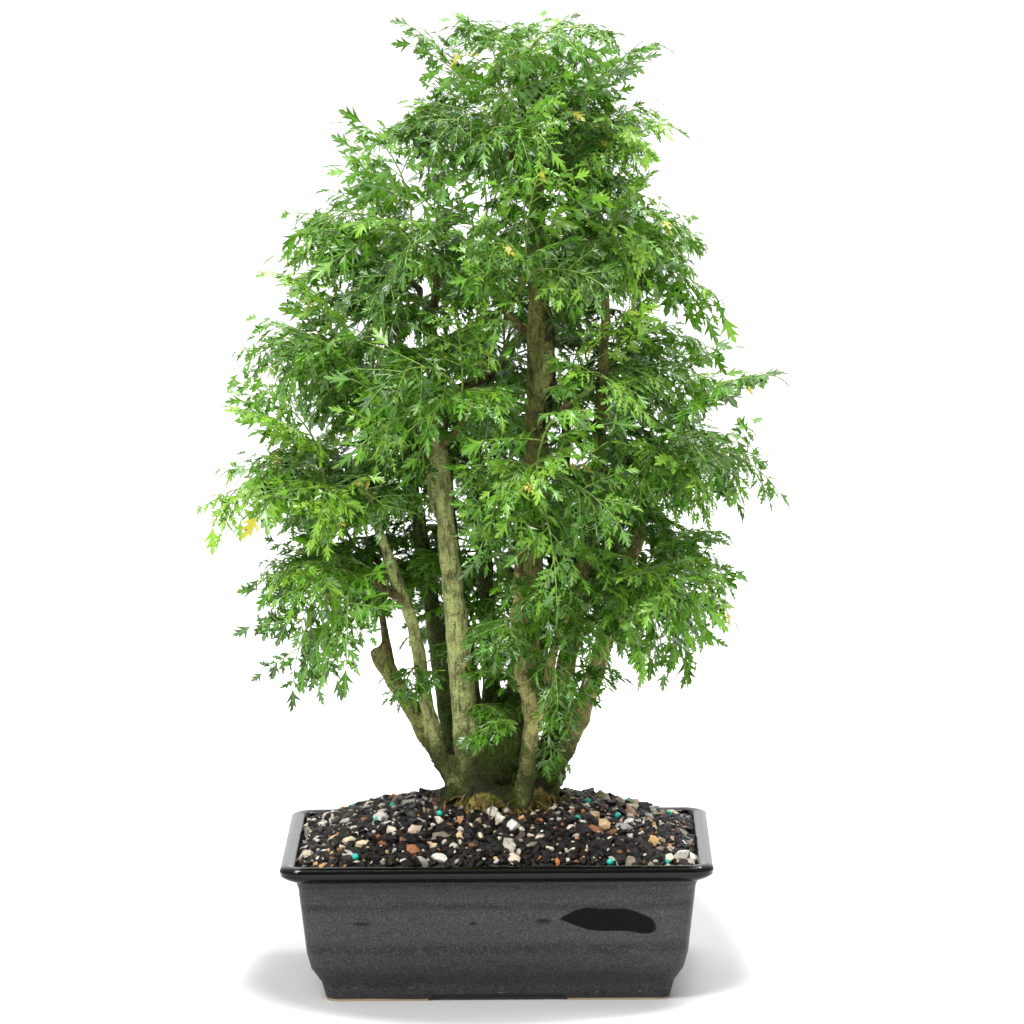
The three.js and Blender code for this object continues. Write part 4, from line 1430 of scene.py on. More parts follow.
    def _leaflet(
        self, frond: Frond, place: Points, toward: Points, normal: Points, size: float, seed: int, form: int = -1
    ) -> None:
        """Adds a leaflet's seat, a little turned by chance and pulled down by its weight.

        Args:
            frond: The frond.
            place: Where it is joined on.
            toward: The way that it points.
            normal: The way that it faces.
            size: Its length.
            seed: Its own seed.
            form: Its shape, or -1 for one by chance.
        """
        if self.cleared(place):
            return
        swing, tilt = (np.array([draw(seed, row, n) for n in (1, 2, 3)]) for row in (2, 3))
        toward = unit(unit(toward) + 0.34 * swing - UP * 0.22)
        facing = unit(normal + 0.8 * tilt + UP * 0.25)
        facing = unit(facing - toward * float(facing @ toward))
        if form < 0:
            form = int((0.5 + 0.499 * draw(seed, 4, 1)) * LeafForms.COUNT)
        least, greatest = self.leaflet_sizes
        size = min(greatest, max(least, size)) * MM
        tone = frond.tone + 0.24 * draw(seed, 4, 2)
        age = 0.5 + 0.5 * draw(seed, 4, 3) * 0.98 + 0.02 * frond.age
        self.skeleton.point(place, seat=1, toward=toward, facing=facing, size=size, form=form, tone=tone, age=age)

    def shoot(self, spray: Spray) -> None:
        """Adds the shoot that a spray's fronds grow from.

        Args:
            spray: The spray.
        """
        along, _, _ = spray.ways()
        length = self.section * (len(spray.fan) + 1)
        places = [spray.hub - along * length * (1 - i / 5) for i in range(6)]
        self.skeleton.line(places, self.shoot_radii, (0.9, 0.1))

    def inner_fronds(self, curve: Curve, seed: int, lowest: float, spacing: float) -> list[Frond]:
        """Lays the fronds that grow straight from a stem or a branch inside the crown.

        Args:
            curve: The line of the stem or branch.
            seed: Its own seed.
            lowest: The height under which it is bare.
            spacing: The distance between two fronds along it.

        Returns:
            The fronds.
        """
        found = []
        count = int(curve.lengths[-1] / spacing)
        for i in range(1, count + 1):
            root = curve.along((i - 0.5 + 0.3 * draw(seed, i, 1)) / (count + 0.4))
            if root[2] < lowest + 12 * draw(seed, i, 2):
                continue
            outward = math.degrees(math.atan2(root[1], root[0] - 4))
            frond = self.inside.frond(root, outward, 0.0, [draw(seed, i, n) for n in range(3, 10)])
            if not self.cleared(frond.rib(0.6)[0]):
                found.append(frond)
        return found

    def _piece(
        self, tree: Geometry, forms: Any, name: str, fronds: list[Frond], seed: int, spray: Spray | None = None
    ) -> None:
        """Grows a set of fronds as one piece.

        Args:
            tree: The tree that grows leaflets and stalks.
            forms: The leaflet shapes.
            name: The piece's name.
            fronds: The fronds.
            seed: Its own seed.
            spray: The spray whose shoot goes with them and whose solid it replaces, if any.
        """
        self.skeleton = Skeleton()
        if spray:
            self.shoot(spray)
        for f, frond in enumerate(fronds):
            self.grow(frond, seed * 20 + f)
        finishes = {"Leaf finish": self.finishes.leaf, "Stalk finish": self.finishes.stalk}
        values = {"Leaf forms": forms, "Stalk sides": self.stalk_sides, **finishes}
        settle(tree.run(self.skeleton.object(name), values), "leaf", *([spray.name] if spray else []))

    def build(self, clump: "StemClump") -> None:
        """Grows every spray, the fronds inside the crown and the low sprouts.

        Args:
            clump: The wood that carries them.
        """
        forms = LeafForms().build()
        tree = SprayTree()
        sprays = self.sprays()
        for number, spray in enumerate(sprays):
            hubs = np.array([other.hub for other in sprays if other is not spray])
            fronds = self.fronds(spray, hubs) + self.extra_fronds(spray, hubs)
            self._piece(tree, forms, spray.name.replace("leaf_spray", "foliage"), fronds, number, spray)
        inner: list[list[Frond]] = [[], [], []]
        seen, hidden, branch = self.bare
        for n, curve in enumerate(clump.curves()):
            lowest = seen if n in clump.open_front else hidden
            inner[n % 3] += self.inner_fronds(curve, 300 + n, lowest, self.spacings[0])
        for n, curve in enumerate(clump.branches(self)):
            inner[n % 3] += self.inner_fronds(curve, 400 + n, branch, self.spacings[1])
        for n, fronds in enumerate(inner):
            self._piece(tree, forms, f"foliage_inner_{n + 1}", fronds, 40 + 10 * n)
        # The low sprouts get a darker green, tone 0.3: painted shade under the crown.
        sprouts = [
            Frond(np.array(root, float), turn, rise, self.sprout_droop, 0, length, 0.3, 0.4)
            for root, turn, rise, length in self.sprouts
        ]
        self._piece(tree, forms, "low_sprouts", sprouts, 90)
        discard(forms)


@dataclass(frozen=True)
class StemLine:
    """Where a stem runs, how thick it is at both ends, and its bark."""

    path: tuple[Triple, ...]
    radii: Pair
    bark: Stem


@dataclass
class StemClump:
    """The stems, the root crown, its surface roots and the branches up to the sprays, grown into one."""

    finishes: Finishes
    voxel: float = 1.35
    hair_count: int = 60
    # Which stems stand free at the front, so that nothing low grows on them.
    open_front: tuple[int, ...] = (0, 1, 2, 3, 4, 6, 7, 8, 9)
    lines: list[Any] = field(default_factory=list)
    stems: tuple[StemLine, ...] = (
        StemLine(
            ((-11, -10, 78), (-13, -13, 104), (-16, -16, 146), (-20, -20, 190), (-25, -23, 250), (-29, -20, 318)),
            (7.4, 2.6), Stem.PALE_GREEN,
        ),
        StemLine(
            ((-20, -20, 208), (-28, -20, 236), (-35, -17, 270), (-46, -12, 312)),
            (3.8, 2), Stem.PALE_GREEN,
        ),
        StemLine(
            ((-12, -8, 78), (-24, -10, 104), (-33, -11, 134), (-39, -11, 170), (-50, -12, 203), (-66, -12, 252)),
            (4.2, 2), Stem.PALE_GREEN,
        ),
        StemLine(
            ((-10, -3, 78), (-24, -4, 103), (-40, -4, 130), (-52, -4, 150), (-57, -4, 160)),
            (5.2, 4), Stem.BROWN_GREEN,
        ),
        StemLine(((-49, -4, 146), (-53, -3, 168), (-56, 4, 196)), (2.2, 1.6), Stem.TWIG),
        StemLine(
            ((-8, 5, 78), (-20, 10, 112), (-29, 17, 165), (-40, 24, 236), (-49, 27, 300)),
            (6, 2.2), Stem.MOSSY,
        ),
        StemLine(
            ((12, -18, 76), (14, -25, 98), (16, -30, 134), (11, -33, 158), (11, -36, 200)),
            (5, 2.4), Stem.BEIGE,
        ),
        StemLine(((15, -29, 120), (23, -29, 136), (27, -29, 160), (38, -33, 192)), (3.2, 1.8), Stem.BEIGE),
        StemLine(((16, 0, 80), (28, 0, 102), (41, 0, 131), (51, 1, 160), (70, 5, 216)), (6.2, 2.8), Stem.BEIGE),
        StemLine(
            ((6, 7, 78), (10, 10, 104), (14, 11, 161), (19, 11, 240), (21, 9, 330), (20, 3, 400)),
            (9, 3.2), Stem.BROWN_GREEN,
        ),
        StemLine(
            ((13, 3, 80), (24, 6, 104), (36, 6, 165), (48, 6, 240), (53, 5, 326)),
            (5.8, 2.2), Stem.BROWN_GREEN,
        ),
        StemLine(((-5, 12, 78), (-11, 25, 124), (-20, 38, 190), (-27, 46, 286)), (5.4, 2.2), Stem.MOSSY),
        StemLine(((9, 13, 78), (16, 28, 126), (28, 40, 190), (36, 46, 284)), (5.4, 2.2), Stem.MOSSY),
        StemLine(((-1, 8, 78), (-2, 14, 128), (-5, 19, 190), (-9, 22, 262)), (6, 2.4), Stem.MOSSY),
    )
    # A dead strip up the trunk and the pale broken stub beside it.
    scars: tuple[StemLine, ...] = (
        StemLine(((23, 8, 262), (26.5, 6, 284), (27, 6, 306), (22, 7, 330)), (2.6, 2.2), Stem.DEAD),
        StemLine(((21, 8, 278), (24.5, 3.4, 290), (26, 2.4, 302)), (3.4, 2.6), Stem.PALE_GREEN),
    )
    stump: StemLine = StemLine(((1, -3, 78), (0, -5, 104), (1, -4, 132)), (12, 8), Stem.MOSSY)
    stump_sides: int = 20
    branch_radii: Pair = (2.3, 1.7)
    crown_at: Triple = (3, -1, 81)
    crown_size: Triple = (29, 22, 15)
    # The heart of the root crown, for its bark: half its length and its radius.
    heart: Pair = (14, 13.0)
    # Burls on the root crown and round the stump: the middle and half the size.
    burls: tuple[tuple[Triple, Triple], ...] = (
        ((0, -5, 129), (9, 8, 7)), ((5, -11, 118), (7, 5, 9)), ((-4, -13, 106), (8, 5, 9)),
        ((-7, -16, 91), (9, 6, 8)), ((4, -19, 88), (10, 6, 7)), ((14, -14, 94), (8, 7, 9)),
        ((-19, -8, 89), (8, 8, 9)), ((22, -6, 89), (8, 8, 8)),
    )
    # The way each surface root leaves the crown, how far it runs and how thick it starts.
    roots: tuple[Triple, ...] = (
        (-128, 34, 6.5), (-82, 31, 4.2), (-42, 38, 5.6), (6, 36, 4.6), (62, 33, 4.6), (122, 33, 4.4),
        (184, 37, 5),
    )
    # The knotty zone round the stump: the height of its middle and how far it reaches up and down.
    knots: Pair = (96, 34)
    # How high above the mix moss climbs at all and thickly, how high the bark grows darker towards it,
    # and how high a root's bark reaches, which varies by so much.
    moss_reach: Pair = (120, 26)
    darkening_reach: float = 36
    root_bark: Pair = (5, 9)
    most_darkening: float = 0.85

    def build(self, crown: Crown, bed: "GrowingMix") -> None:
        """Grows the wood as one skin.

        Args:
            crown: The sprays that the branches carry.
            bed: The mix that the roots dive into.
        """
        shell = Shell()
        for n, (stem, curve) in enumerate(zip(self.stems, self.curves(), strict=True)):
            self._limb(shell, curve, stem.radii, stem.bark, 18, n)
        self._limb(shell, Curve(self.stump.path), self.stump.radii, Stem.MOSSY, self.stump_sides, 40)
        for n, scar in enumerate(self.scars):
            self._limb(shell, Curve(scar.path), scar.radii, scar.bark, 10, 44 + n)
        shell.ball(self.crown_at, self.crown_size)
        for middle, size in self.burls:
            shell.ball(middle, size, 10, 14)
            self.lines.append((np.array([middle, middle], float), np.full(2, min(size)), Stem.MOSSY.value))
        for n, (turn, run, radius) in enumerate(self.roots):
            curve = self._root(bed, turn, run, radius)
            self._limb(shell, curve, (radius, 0.35 * radius), Stem.ROOT, 14, 50 + n)
        for n, curve in enumerate(self.branches(crown)):
            self._limb(shell, curve, self.branch_radii, Stem.TWIG, 10, 70 + n)
        half, radius = self.heart
        ends = np.array(self.crown_at, float) + np.array([[-half, 0, 0], [half, 0, 0]])
        self.lines.append((ends, np.full(2, radius), Stem.ROOT.value))
        piece = shell.object("stem_clump_bark")
        modifier = piece.modifiers.new("fuse", "REMESH")
        modifier.mode = "VOXEL"
        modifier.voxel_size = self.voxel * MM
        modifier.adaptivity = 0.0
        baked(piece)
        self._weather(piece, bed)
        dress(piece, self.finishes.bark)
        settle(piece, "bark", "stem_clump")

    def hairs(self, bed: "GrowingMix") -> None:
        """Grows the fine roots that hang from the root crown over the mix.

        Args:
            bed: The mix.
        """
        shell = Shell()
        for n in range(self.hair_count):
            aside, up, spread, run, arch, sway = (draw(n, 5, i) for i in range(1, 7))
            turn, up = -78 + 80 * aside, 0.5 + 0.3 * up
            out = level(turn)
            start = np.array(self.crown_at) + np.array(self.crown_size) * (out * math.sqrt(1 - up * up) + UP * up)
            end = start + level(turn + 50 * spread) * (11 + 8 * run)
            end[2] = bed.height(end[0], end[1]) - 0.5
            middle = (start + end) / 2 + UP * (3 + 2.5 * arch) + level(turn + 90) * 3 * sway
            line = Curve([start - out * 2, start + out + UP, middle, end])
            shell.tube(line.spaced(10), np.linspace(0.5, 0.25, 11), 5)
        piece = shell.object("root_hairs")
        for key, value in (("stem", Stem.ROOT.value), ("moss", 0.0), ("dirt", 0.25)):
            set_attribute(piece, key, "FLOAT", np.full(shell.count, value))
        dress(piece, self.finishes.bark)
        settle(piece, "bark")

    def curves(self) -> list[Curve]:
        """Gives the lines of the stems."""
        return [Curve(stem.path) for stem in self.stems]

    def branches(self, crown: Crown) -> list[Curve]:
        """Gives the lines of the branches that carry the sprays."""
        places = np.concatenate([curve.spaced(20)[4:] for curve in self.curves()])
        return [self._branch(crown, spray, places) for spray in crown.sprays()]

    def near(self, x: float, y: float, z: float, margin: float) -> bool:
        """Tells whether a place is in the wood or nearer to it than a margin."""
        at = np.array([x, y, z])
        egg = (at - np.array(self.crown_at)) / (np.array(self.crown_size) + margin)
        if float(egg @ egg) < 1:
            return True
        return any((np.linalg.norm(path - at, axis=1) < radius + margin).any() for path, radius, _ in self.lines)

    def _root(self, bed: "GrowingMix", turn: float, run: float, radius: float) -> Curve:
        """Gives the line of a root that arches out of the root crown and dives into the mix."""
        out = level(turn)
        x, y = self.crown_at[0], self.crown_at[1]
        surface = bed.height(x + 0.68 * run * out[0], y + 0.68 * run * out[1]) - 0.2 * radius
        ends = zip((0.3, 0.68, 1.0), (90.0, surface, 72.0), strict=True)
        return Curve([np.array([x, y, z]) + out * share * run for share, z in ends])

    @staticmethod
    def _branch(crown: Crown, spray: Spray, places: Points) -> Curve:
        """Gives the line of the branch from the nearest stem up to a spray's shoot.

        Args:
            crown: The crown.
            spray: The spray.
            places: Where a branch may leave a stem.

        Returns:
            The line.
        """
        into = spray.ways()[0]
        end = crown.foot(spray) - into * 0.35
        away = np.linalg.norm(places - end, axis=1)
        cost = away + 3 * np.maximum(0, places[:, 2] + 0.35 * away - end[2])
        start = places[int(np.argmin(cost))]
        bend = (start + end) / 2 - into * 0.12 * float(np.linalg.norm(end - start))
        return Curve([start, bend, end - into * 4, end + into * 1.5])

    def _limb(self, shell: Shell, curve: Curve, radii: Pair, bark: Stem, sides: int, seed: int) -> None:
        """Adds a limb with knots and swellings, and keeps its line for the bark.

        Args:
            shell: What it is added to.
            curve: Its middle line.
            radii: Its radius at both ends.
            bark: Its bark.
            sides: How many sides it has.
            seed: Its own seed.
        """
        count = max(6, int(curve.lengths[-1] / 5))
        places = curve.spaced(count)
        radius = radii[0] + (radii[1] - radii[0]) * np.linspace(0, 1, count + 1)
        swell = np.array([1 + 0.05 * draw(seed, i, 9) for i in range(count + 1)])
        shell.tube(places, radius * swell, sides, 0.3 * seed)
        self.lines.append((places, radius, bark.value))

    def _nearest_bark(self, places: Points) -> Points:
        """Gives the bark's number of the limb that each place lies on.

        Args:
            places: The places.

        Returns:
            The numbers.
        """
        nearest = np.full(len(places), 1e9)
        bark = np.zeros(len(places))
        for path, radius, kind in self.lines:
            for a, b, r in zip(path[:-1], path[1:], radius, strict=False):
                way = b - a
                t = np.clip((places - a) @ way / max(1e-9, float(way @ way)), 0, 1)
                gap = np.linalg.norm(places - (a + t[:, None] * way), axis=1) - r
                closer = gap < nearest
                nearest[closer] = gap[closer]
                bark[closer] = kind
        return bark

    def _weather(self, piece: Any, bed: "GrowingMix") -> None:
        """Raises the bark's relief and writes where each stem's bark, moss and darkening towards the mix lie.

        Args:
            piece: The fused wood.
            bed: The mix, whose surface the darkening and the roots' bark are measured from.
        """
        places = vertices(piece)
        bark = self._nearest_bark(places)
        normals = np.empty(len(places) * 3, np.float32)
        piece.data.vertices.foreach_get("normal", normals)
        relief = np.empty(len(places))
        moss = np.empty(len(places))
        middle, reach = self.knots
        for i, (x, y, z) in enumerate(places):
            ridge = noise.noise(Vector((x * 0.42, y * 0.42, z * 0.1)))
            lump = noise.noise(Vector((x * 0.13, y * 0.13, z * 0.09)))
            fuzz = noise.noise(Vector((x * 0.8, y * 0.8, z * 0.8)))
            low = max(0.0, 1 - abs(z - middle) / reach)
            relief[i] = 0.5 * ridge + 0.9 * lump * (1 + low) + 1.1 * fuzz * low
            if bark[i] == Stem.MOSSY.value:
                relief[i] += 2.6 * low * noise.noise(Vector((x * 0.27, y * 0.27, z * 0.27)))
            moss[i] = noise.noise(Vector((x * 0.07 + 9, y * 0.07, z * 0.04)))
        twig = bark == Stem.TWIG.value
        relief[twig] *= 0.35
        move_vertices(piece, places + normals.reshape(-1, 3) * relief[:, None])
        above = places[:, 2] - np.array([bed.height(x, y) for x, y in places[:, :2]])
        bark[above < self.root_bark[0] + self.root_bark[1] * moss] = Stem.ROOT.value

        def near(height: float) -> Points:
            """Gives 1 at the mix's surface and 0 above a height over it."""
            return np.clip(1 - above / height, 0, 1)

        thick, root = near(self.moss_reach[0]) + 0.5 * near(self.moss_reach[1]), bark == Stem.ROOT.value
        mossy = 0.5 * thick + 0.32 * (bark == Stem.MOSSY.value) + 0.26 * moss - 0.1 * twig - 0.3 * root
        dirt = 0.3 * near(4) + (0.95 + 1.1 * moss) * near(self.darkening_reach) * (bark < Stem.ROOT.value - 0.05)
        shown = {"stem": bark, "moss": np.clip(mossy, 0, 1), "dirt": np.clip(dirt, 0, self.most_darkening)}
        for name, values in shown.items():
            set_attribute(piece, name, "FLOAT", values)


@dataclass
class GrowingMix:
    """The mound of growing mix with its chunks of bark, pebbles and beads of plant food."""

    finishes: Finishes
    pot_width: float = 203
    pot_depth: float = 150
    lip: float = 7
    edge: float = 65
    rise: float = 20
    end_drop: float = 3
    floor_top: float = 11
    gap: float = 0.35
    around: int = 176
    rings: int = 44
    highest: float = 96.0
    # The cells of the ground that stones are strewn on, and how far it stays from the pot.
    cells: tuple[int, int] = (76, 56)
    shore: Pair = (3.4, 3.2)
    # How far the stones stay from the wood.
    margin: float = 1.6
    # Least distance, least and greatest radius, and lift of each kind of stone.
    chunks: tuple[float, float, float, float] = (2.7, 1.3, 4.2, 0.3)
    pebbles: tuple[float, float, float, float] = (8.2, 1.3, 4.2, 1.1)
    grit: tuple[float, float, float, float] = (5.6, 0.6, 1.6, 1.9)
    beads: tuple[Pair, ...] = (
        (-57, -25), (-66, -60), (-27, -29), (-50, -4), (9, -44), (57, -22), (53, -66), (80, -62),
        (38, -34), (43, -4), (62, 18), (-20, 44), (-70, 30), (24, 56), (-44, 58), (82, 36),
    )

    def height(self, x: float, y: float) -> float:
        """Gives the height of the mound's surface without its crumbs."""
        u = min(1.0, abs(2 * x / (self.pot_width - 2 * self.lip)))
        v = min(1.0, abs(2 * y / (self.pot_depth - 2 * self.lip)))
        return self.edge - self.end_drop * u**4 + self.rise * (1 - u**3) * (1 - v**2.6)

    def build(self, clump: StemClump) -> None:
        """Lays the bed and strews the crumbs over it.

        Args:
            clump: The wood that stands in it.
        """
        self._bed()
        stones = self._stones()
        tree = ScatterTree()
        pebbles = self.finishes.pebbles
        kinds = (
            ("mix_chunks", self.finishes.chunks, self.chunks), ("mix_pebbles", pebbles, self.pebbles),
            ("mix_grit", pebbles, self.grit),
        )
        for n, (name, finish, sizes) in enumerate(kinds):
            ground = self._ground(name, clump)
            values = dict(zip(ScatterTree.SIZES, (size * MM for size in sizes), strict=True))
            tree.run(ground, values | {"Stones": stones, "Seed": 3 + 8 * n, "Finish": finish})
            dress(ground, finish, 24)
            settle(ground, "mix")
        discard(stones)
        self._beads()

    def _bed(self) -> None:
        """Makes the closed bed."""
        half_x, half_y, inside = self.pot_width / 2, self.pot_depth / 2, self.lip + self.gap
        outline = rounded_rectangle(half_x - inside, half_y - inside, 6, self.around)
        verts: list[Any] = [[0.0, 0.0, self.height(0, 0)]]
        for r in range(1, self.rings + 1):
            for x, y in outline * (r / self.rings):
                broad = noise.noise(Vector((x * 0.16, y * 0.16, 3.0)))
                fine = noise.noise(Vector((x * 0.5, y * 0.5, 7.0)))
                verts.append([x, y, min(self.height(x, y) + 1.6 * broad + 0.9 * fine, self.highest)])
        bottom = self.floor_top + self.gap
        walls = ((self.lip + 2 + self.gap, 6, 55.0), (20.8 + self.gap, 6, 20.0), (25 + self.gap, 5, bottom))
        for inset, corner, z in walls:
            for x, y in rounded_rectangle(half_x - inset, half_y - inset, corner, self.around):
                verts.append([x, y, z])
        verts.append([0.0, 0.0, bottom])
        faces = closed(self.rings + len(walls), self.around, 1, (0, len(verts) - 1))
        # The rings run from the top down, so their faces are turned over.
        piece = new_object("mix_bed", verts, [(face[0], *face[:0:-1]) for face in faces])
        dress(piece, self.finishes.soil)
        settle(piece, "mix", "growing_mix")

    @staticmethod
    def _stones() -> Any:
        """Makes a few lumpy stones of a radius of 1.

        Returns:
            Their collection.
        """
        stones = bpy.data.collections.new("stones")
        for n in range(6):
            shell = Shell()
            shell.ball((0, 0, 0), (1, 1, 1), 4, 6)
            verts = np.concatenate(shell.verts)
            for i, v in enumerate(verts):
                push = 1 + 0.6 * noise.noise(Vector(v * 1.6) + Vector((n * 5.0, 0, 0)))
                flat = np.array([1.25 + 0.2 * draw(n, 1, 1), 0.95, 0.68 + 0.12 * draw(n, 1, 2)])
                verts[i] = v * push * flat
            stones.objects.link(loose_object(f"stone_{n}", verts, shell.faces))
        return stones

    def _ground(self, name: str, clump: StemClump) -> Any:
        """Makes the surface that stones are strewn on, without the places of the wood.

        Args:
            name: Its name.
            clump: The wood.

        Returns:
            The object.
        """
        verts, faces = [], []
        columns, rows = self.cells
        wide, deep = self.pot_width / 2 - self.lip - self.shore[0], self.pot_depth / 2 - self.lip - self.shore[1]
        for j in range(rows + 1):
            for i in range(columns + 1):
                x, y = wide * (2 * i / columns - 1), deep * (2 * j / rows - 1)
                verts.append([x, y, self.height(x, y)])
        for j in range(rows):
            for i in range(columns):
                a = j * (columns + 1) + i
                x, y, z = (verts[a][c] / 2 + verts[a + columns + 2][c] / 2 for c in range(3))
                if not clump.near(x, y, z + 1.0, self.margin):
                    faces.append((a, a + 1, a + columns + 2, a + columns + 1))
        return new_object(name, verts, faces)

    def _beads(self) -> None:
        """Lays the beads of plant food."""
        shell = Shell()
        for n, (x, y) in enumerate(self.beads):
            radius = 1.45 + 0.25 * draw(n, 3, 3)
            shell.ball((x, y, self.height(x, y) + 2.4), (radius, radius, radius), 10, 14)
        piece = shell.object("plant_food_beads")
        dress(piece, self.finishes.beads)
        settle(piece, "mix")


class ScatterTree(Geometry):
    """Strews stones over a surface at a least distance from each other."""

    SIZES = ("Spacing", "Least radius", "Greatest radius", "Lift")
    DENSITY = 2000000.0

    def __init__(self) -> None:
        """Builds the tree."""
        super().__init__("strew_stones")
        stones = self.given("Stones", "NodeSocketCollection")
        spacing, least, greatest, lift = (self.given(name, "NodeSocketFloat") for name in self.SIZES)
        seed = self.given("Seed", "NodeSocketInt")
        finish = self.given("Finish", "NodeSocketMaterial")
        inputs = {"Mesh": self.start(), "Distance Min": spacing, "Density Max": self.DENSITY, "Seed": seed}
        spread = self.node("GeometryNodeDistributePointsOnFaces", {"distribute_method": "POISSON"}, inputs)
        share = self._random("FLOAT", 0.0, 1.0, seed, 1)
        which = self._random("INT", 0, 5, seed, 2)
        tone = self._random("FLOAT", 0.0, 1.0, seed, 3)
        turn = self._random("FLOAT_VECTOR", (0.0, 0.0, 0.0), (0.9, 0.9, 6.28), seed, 4)
        inputs = {"Geometry": self.wire(spread, "Points"), "Name": "tone", "Value": tone}
        toned = self.node("GeometryNodeStoreNamedAttribute", {"data_type": "FLOAT", "domain": "POINT"}, inputs)
        offset = self.wire(self.node("ShaderNodeCombineXYZ", {}, {"Z": lift}))
        laid = self.node("GeometryNodeSetPosition", {}, {"Geometry": self.wire(toned), "Offset": offset})
        size = least + (greatest - least) * share * share
        self.end(self.finished(self.planted(self.wire(laid), stones, which, turn, size), finish))

    def _random(self, kind: str, low: Any, high: Any, seed: Wire, number: int) -> Wire:
        """Adds a random value for each point.

        Args:
            kind: The value's data type.
            low: Its least value.
            high: Its greatest value.
            seed: The seed that goes in.
            number: Its own seed.

        Returns:
            The value.
        """
        at = ("FLOAT_VECTOR", "FLOAT", "INT").index(kind)
        inputs = {2 * at: low, 2 * at + 1: high, "Seed": seed + float(number * 17)}
        return self.wire(self.node("FunctionNodeRandomValue", {"data_type": kind}, inputs), at)


def rounded_corners(half_x: float, half_y: float, corner: float, steps: int) -> list[Pair]:
    """Gives the corner places of a rounded rectangle.

    Args:
        half_x: Half its width.
        half_y: Half its depth.
        corner: How its corners round.
        steps: How many steps each corner has.

    Returns:
        The places, counted from the right over the back.
    """
    line = []
    x, y = half_x - corner, half_y - corner
    for sx, sy, start in ((1, 1, 0), (-1, 1, 90), (-1, -1, 180), (1, -1, 270)):
        for i in range(steps + 1):
            a = math.radians(start + 90 * i / steps)
            line.append((sx * x + corner * math.cos(a), sy * y + corner * math.sin(a)))
    return line


def rounded_rectangle(half_x: float, half_y: float, corner: float, count: int, steps: int = 16) -> Points:
    """Gives evenly spaced places on a rectangle with rounded corners.

    Args:
        half_x: Half its width.
        half_y: Half its depth.
        corner: How its corners round.
        count: How many places it has.
        steps: How finely its corners are followed.

    Returns:
        The places, counted from the middle of the right side over the back.
    """
    places = np.array([(half_x, 0.0), *rounded_corners(half_x, half_y, corner, steps), (half_x, 0.0)])
    lengths = np.concatenate([[0.0], np.cumsum(np.linalg.norm(np.diff(places, axis=0), axis=1))])
    at = np.arange(count) / count * lengths[-1]
    return np.stack([np.interp(at, lengths, places[:, 0]), np.interp(at, lengths, places[:, 1])], axis=1)


